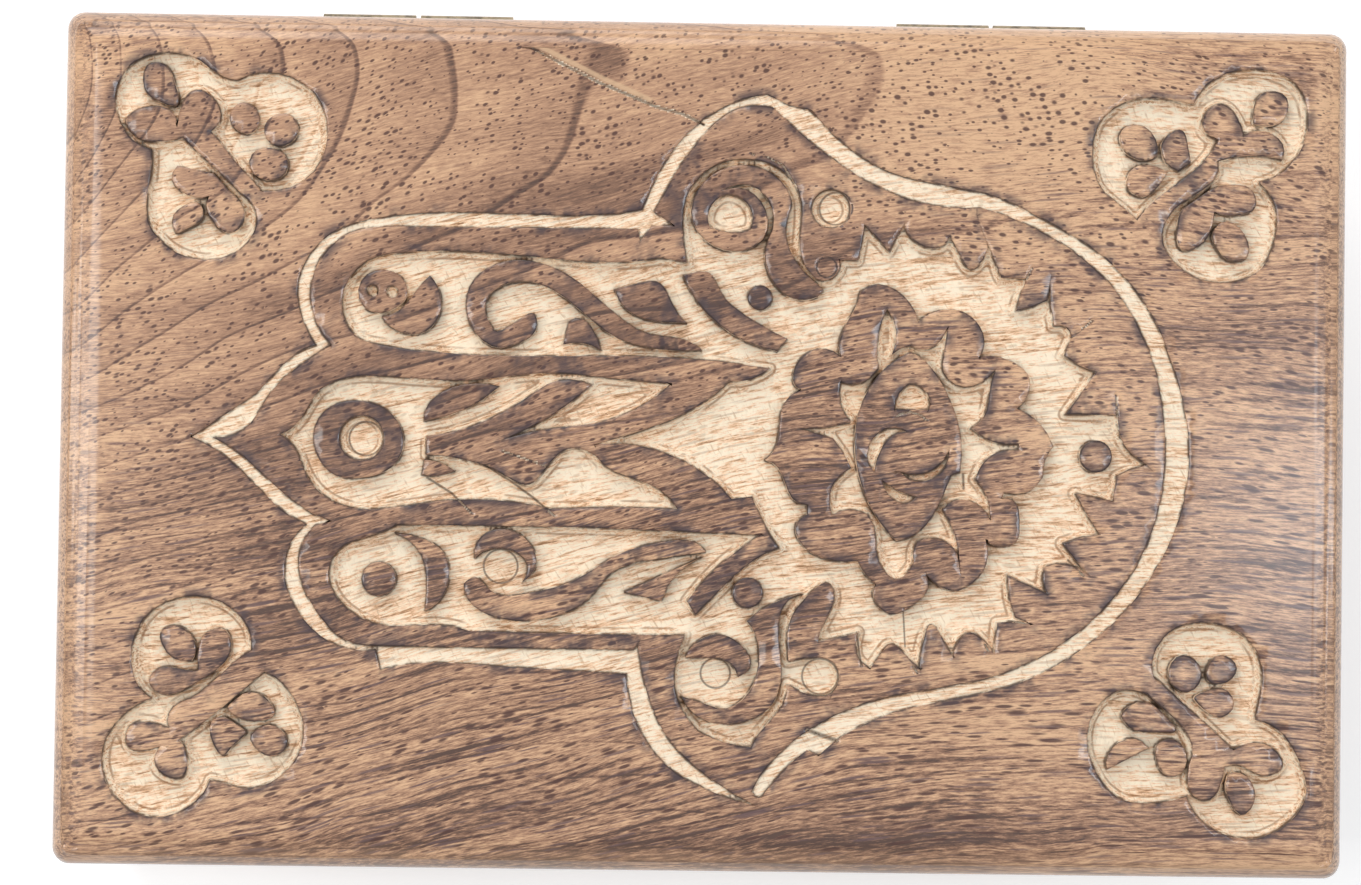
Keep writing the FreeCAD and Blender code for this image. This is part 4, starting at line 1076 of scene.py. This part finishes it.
        def is_crossed(face: BMFace, reach: float) -> bool:
            """Tell whether a level face lies within reach of a line."""
            middle = face.calc_center_median()
            return face.normal.z > self.level and tree.find((*middle.xy, self.top))[2] < reach

        with editing(self.panel, "FACE"):
            for cuts, reach in ((2, 0.9 * MM), (1, 0.55 * MM)):
                mark(self.panel, "faces", lambda face: is_crossed(face, reach))
                bpy.ops.mesh.subdivide(number_cuts=cuts, ngon=False, quadcorner="INNERVERT")
            bpy.ops.mesh.select_all(action="SELECT")
            bpy.ops.mesh.dissolve_degenerate(threshold=0.01 * MM)

    def measure_edges(self, sharp: list[Vector]) -> None:
        """Store each vertex's distance to the nearest carved edge."""
        tree = tree_of(sharp)
        store(self.panel, Rim.EDGE, [min(self.far, tree.find(vertex.co)[2] / MM)
                                     for vertex in self.panel.data.vertices])

    def measure_lines(self, rim: Rim, lines: tuple[Scratch, ...]) -> None:
        """Store each vertex's distance to the nearest fine line, and cut the line in.

        Args:
            rim: the name of the distance.
            lines: the fine lines.
        """
        owners = [(dot, line) for line in lines for dot in line.dots(self.top)]
        tree = tree_of([dot for dot, _ in owners])
        values = []
        for vertex in self.panel.data.vertices:
            place = vertex.co
            if place.z < self.top - self.cut_end:
                values.append(self.far)
                continue
            _, found, reach = tree.find((*place.xy, self.top))
            line = owners[found][1]
            share = reach / MM / (2 * line.width)
            values.append(min(self.far, reach / MM * Scratch.width / line.width))
            if share < 1 and line.depth:
                place.z -= line.depth * MM * (1 - share) ** 2
        store(self.panel, rim, values)

    def measure_stops(self) -> None:
        """Store how far each vertex lies from the knife's line beside the rim or hand."""
        values = []
        for vertex in self.panel.data.vertices:
            place = vertex.co
            depth = self.top - place.z
            value = self.far
            if 0.6 * MM < depth < self.cut_end + self.skin:
                wander = self.wander * noise.noise(place * self.wander_waves)
                tree, stop = ((self.walls, self.groove_stop) if depth < self.groove_limit
                              else (self.rims, self.ground_stop))
                value = tree.find(place)[2] / MM - stop - wander
            values.append(value)
        store(self.panel, Rim.STOP, values)

    def slope_rims(self) -> None:
        """Let each cleared ground rise towards its outer rim, unevenly.

        The groove round the hand is one slope from rim to hand. Everywhere
        else the slope is short, and the rest of the floor is tooled.
        """
        for vertex in self.panel.data.vertices:
            place = vertex.co
            depth = self.top - place.z
            if depth < 0.9 * MM or depth > self.cut_end:
                continue
            rim = self.rims.find(place)[2] / MM
            wall = self.walls.find(place)[2] / MM
            if depth < self.groove_limit:
                share = 1 - rim / max(rim + wall, 0.01)
            else:
                width = self.slope * (0.75 + 0.9 * noise.noise(place * self.slope_waves))
                share = max(0.0, 1 - rim / max(width, 0.3))
            dents = noise.noise(place * self.dent_waves) * min(1.0, min(rim, wall) / 0.6)
            place.z += depth * self.lift * share + self.dent * dents

    def part_finishes(self) -> None:
        """Give the carved faces the second material slot."""
        dress(self.panel, *[finish.build() for finish in lid_finishes()])
        for face in self.panel.data.polygons:
            middle = face.center
            inside = abs(middle.x) < self.carved[0] and abs(middle.y) < self.carved[1]
            cut = self.skin < self.top - middle.z < self.cut_end + self.skin
            face.material_index = 1 if inside and cut else 0


@dataclass
class BoxBase:
    """The base: four walls and the floor let into them."""

    bench: Bench
    body: str = "base"
    pieces: list[Object] = field(default_factory=list)

    def build(self) -> None:
        """Build the walls and the floor with eased edges."""
        for side in SIDES:
            wall = self.bench.ease(f"{side}_wall", f"{side}_wall_board", 0.3 * MM)
            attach(wall, self.body)
            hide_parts(f"{side}_wall")
            self.pieces.append(wall)
        floor = self.bench.ease("bottom_panel", "floor_board", 0.3 * MM)
        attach(floor, self.body)
        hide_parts("bottom_panel")
        self.pieces.append(floor)


class Lie(Enum):
    """How the grain lies in a board: along the box or across it."""

    ALONG = 0.0
    ACROSS = math.pi / 2


BOARDS = {
    "front_rail_board": (Lie.ALONG, (31.0, 8.0, 5.0)),
    "back_rail_board": (Lie.ALONG, (-14.0, 22.0, 40.0)),
    "left_rail_board": (Lie.ACROSS, (12.0, 60.0, 20.0)),
    "right_rail_board": (Lie.ACROSS, (-25.0, 15.0, 33.0)),
    "front_wall_board": (Lie.ALONG, (57.0, -12.0, 14.0)),
    "back_wall_board": (Lie.ALONG, (-36.0, 18.0, 27.0)),
    "left_wall_board": (Lie.ACROSS, (44.0, -35.0, 9.0)),
    "right_wall_board": (Lie.ACROSS, (-9.0, 41.0, 18.0)),
    "floor_board": (Lie.ALONG, (20.0, 30.0, 50.0)),
}


def board_finish(board: str) -> WoodFinish:
    """Describe the finish of one plain board: the floor is bare and only sanded.

    Args:
        board: the board's name, under which BOARDS says how its grain lies
            and where in the trunk it was sawn, in millimetres.

    Returns:
        The finish.
    """
    lie, shift = BOARDS[board]
    sawn = {"name": f"{board}_wood", "shift": shift, "turn": lie.value}
    if board == "floor_board":
        return WoodFinish(**sawn, light="ecd0ab", middle="dab68f", deep="b58e69", dark="8a684b",
                          pore="7f5d45", rough=0.6, lacquer=0.0)
    return WoodFinish(**sawn, light="d8ae8c", middle="b88e72", deep="8a6752", dark="5b4438",
                      pore="64463b", heart=70.0)


@dataclass
class Hinges:
    """The two butt hinges, with their pins and screws."""

    nodes: dict[str, Object]

    def build(self) -> None:
        """Dress the hinges' nodes in aged brass."""
        leaf = AgedBrass("aged_hinge_brass").build()
        pin = AgedBrass("aged_pin_brass", bright="9c8b6c", rough=0.38).build()
        screw = AgedBrass("aged_screw_brass", bright="b3a07c").build()
        for name, node in self.nodes.items():
            if "hinge" in name:
                made = screw if name.endswith("screws") else pin if name.endswith("pin") else leaf
                dress(node, made)


@dataclass(frozen=True)
class Lamp:
    """A soft lamp that looks at the lid. Lengths are in millimetres."""

    name: str
    place: tuple[float, float, float]
    size: tuple[float, float]
    watts: float
    colour: tuple[float, float, float]

    def build(self) -> None:
        """Hang the lamp."""
        data = bpy.data.lights.new(self.name, "AREA")
        data.shape = "RECTANGLE"
        data.size, data.size_y = (side * MM for side in self.size)
        data.energy = self.watts
        data.color = self.colour
        lamp = bpy.data.objects.new(self.name, data)
        bpy.context.scene.collection.objects.link(lamp)
        lamp.location = [part * MM for part in self.place]
        aim = Vector((0.0, 0.0, 60 * MM)) - lamp.location
        lamp.rotation_euler = aim.to_track_quat("-Z", "Y").to_euler()


WARM = (1.0, 0.985, 0.965)
COOL = (0.8, 0.9, 1.0)
LAMPS = (
    Lamp("left_softbox", (-420, 0, 700), (150, 500), 1.7, WARM),
    Lamp("right_softbox", (400, 0, 700), (70, 500), 1.2, COOL),
    Lamp("window", (-180, 560, 450), (400, 400), 1.8, WARM),
)


@dataclass
class Studio:
    """A white table, soft lamps and a camera straight above the lid."""

    camera_place: tuple[float, float, float] = (-14.0 * MM, -13.88 * MM, 509.6 * MM)
    camera_turn: tuple[float, float, float] = (1.79, -1.45, 0.81)
    lens: float = 100.5
    fill: float = 0.45
    table_white: float = 0.85
    table_glow: float = 0.38

    def build(self) -> None:
        """Place the camera, the lamps, the world and the table."""
        self.camera()
        self.world()
        for lamp in LAMPS:
            lamp.build()
        self.table()

    def camera(self) -> None:
        """Hang the camera over the lid at the photograph's angle."""
        data = bpy.data.cameras.new("camera")
        data.lens = self.lens
        data.sensor_width = 36.0
        data.clip_start = 0.01
        camera = bpy.data.objects.new("camera", data)
        bpy.context.scene.collection.objects.link(camera)
        camera.location = self.camera_place
        camera.rotation_euler = Euler([math.radians(angle) for angle in self.camera_turn])
        bpy.context.scene.camera = camera

    def world(self) -> None:
        """Surround the scene with even light, white to the camera."""
        world = bpy.data.worlds.new("soft_studio")
        world.use_nodes = True
        bpy.context.scene.world = world
        w = Wiring(world.node_tree)
        seen = w.node("LightPath").outputs["Is Camera Ray"]
        w.fill(world.node_tree.nodes["Background"],
               {"Color": WHITE, "Strength": w.scaled(seen, 1 - self.fill, self.fill)})

    def table(self) -> None:
        """Lay the white table, which still takes the box's shadow."""
        bpy.ops.mesh.primitive_plane_add(size=6.0, location=(0.0, 0.0, 0.0))
        table = bpy.context.active_object
        table.name = "table"
        material, w, shader = new_material("white_table")
        grey = self.table_white
        ray = w.node("LightPath").outputs
        mirrored = w.larger(ray["Is Glossy Ray"], ray["Is Transmission Ray"])
        w.fill(shader, {
            "Base Color": (grey, grey, grey, 1.0),
            "Roughness": 0.7,
            "Emission Color": WHITE,
            "Emission Strength": w.times(w.larger(ray["Is Camera Ray"], mirrored), self.table_glow),
        })
        dress(table, material)


def main() -> None:
    """Build the looks of the box, piece by piece."""
    logging.basicConfig(level=logging.INFO, format="%(message)s")
    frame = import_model()
    bench = Bench(frame["nodes"])
    lid = CarvedLid(bench)
    lid.build()
    base = BoxBase(bench)
    base.build()
    for piece in lid.pieces[1:] + base.pieces:
        dress(piece, board_finish(piece.name).build())
    Hinges(frame["nodes"]).build()
    Studio().build()
    bpy.context.scene.view_settings.view_transform = "Standard"
    for piece in lid.pieces + base.pieces:
        log.info("%s: %d faces", piece.name, len(piece.data.polygons))


if __name__ == "__main__":
    main()
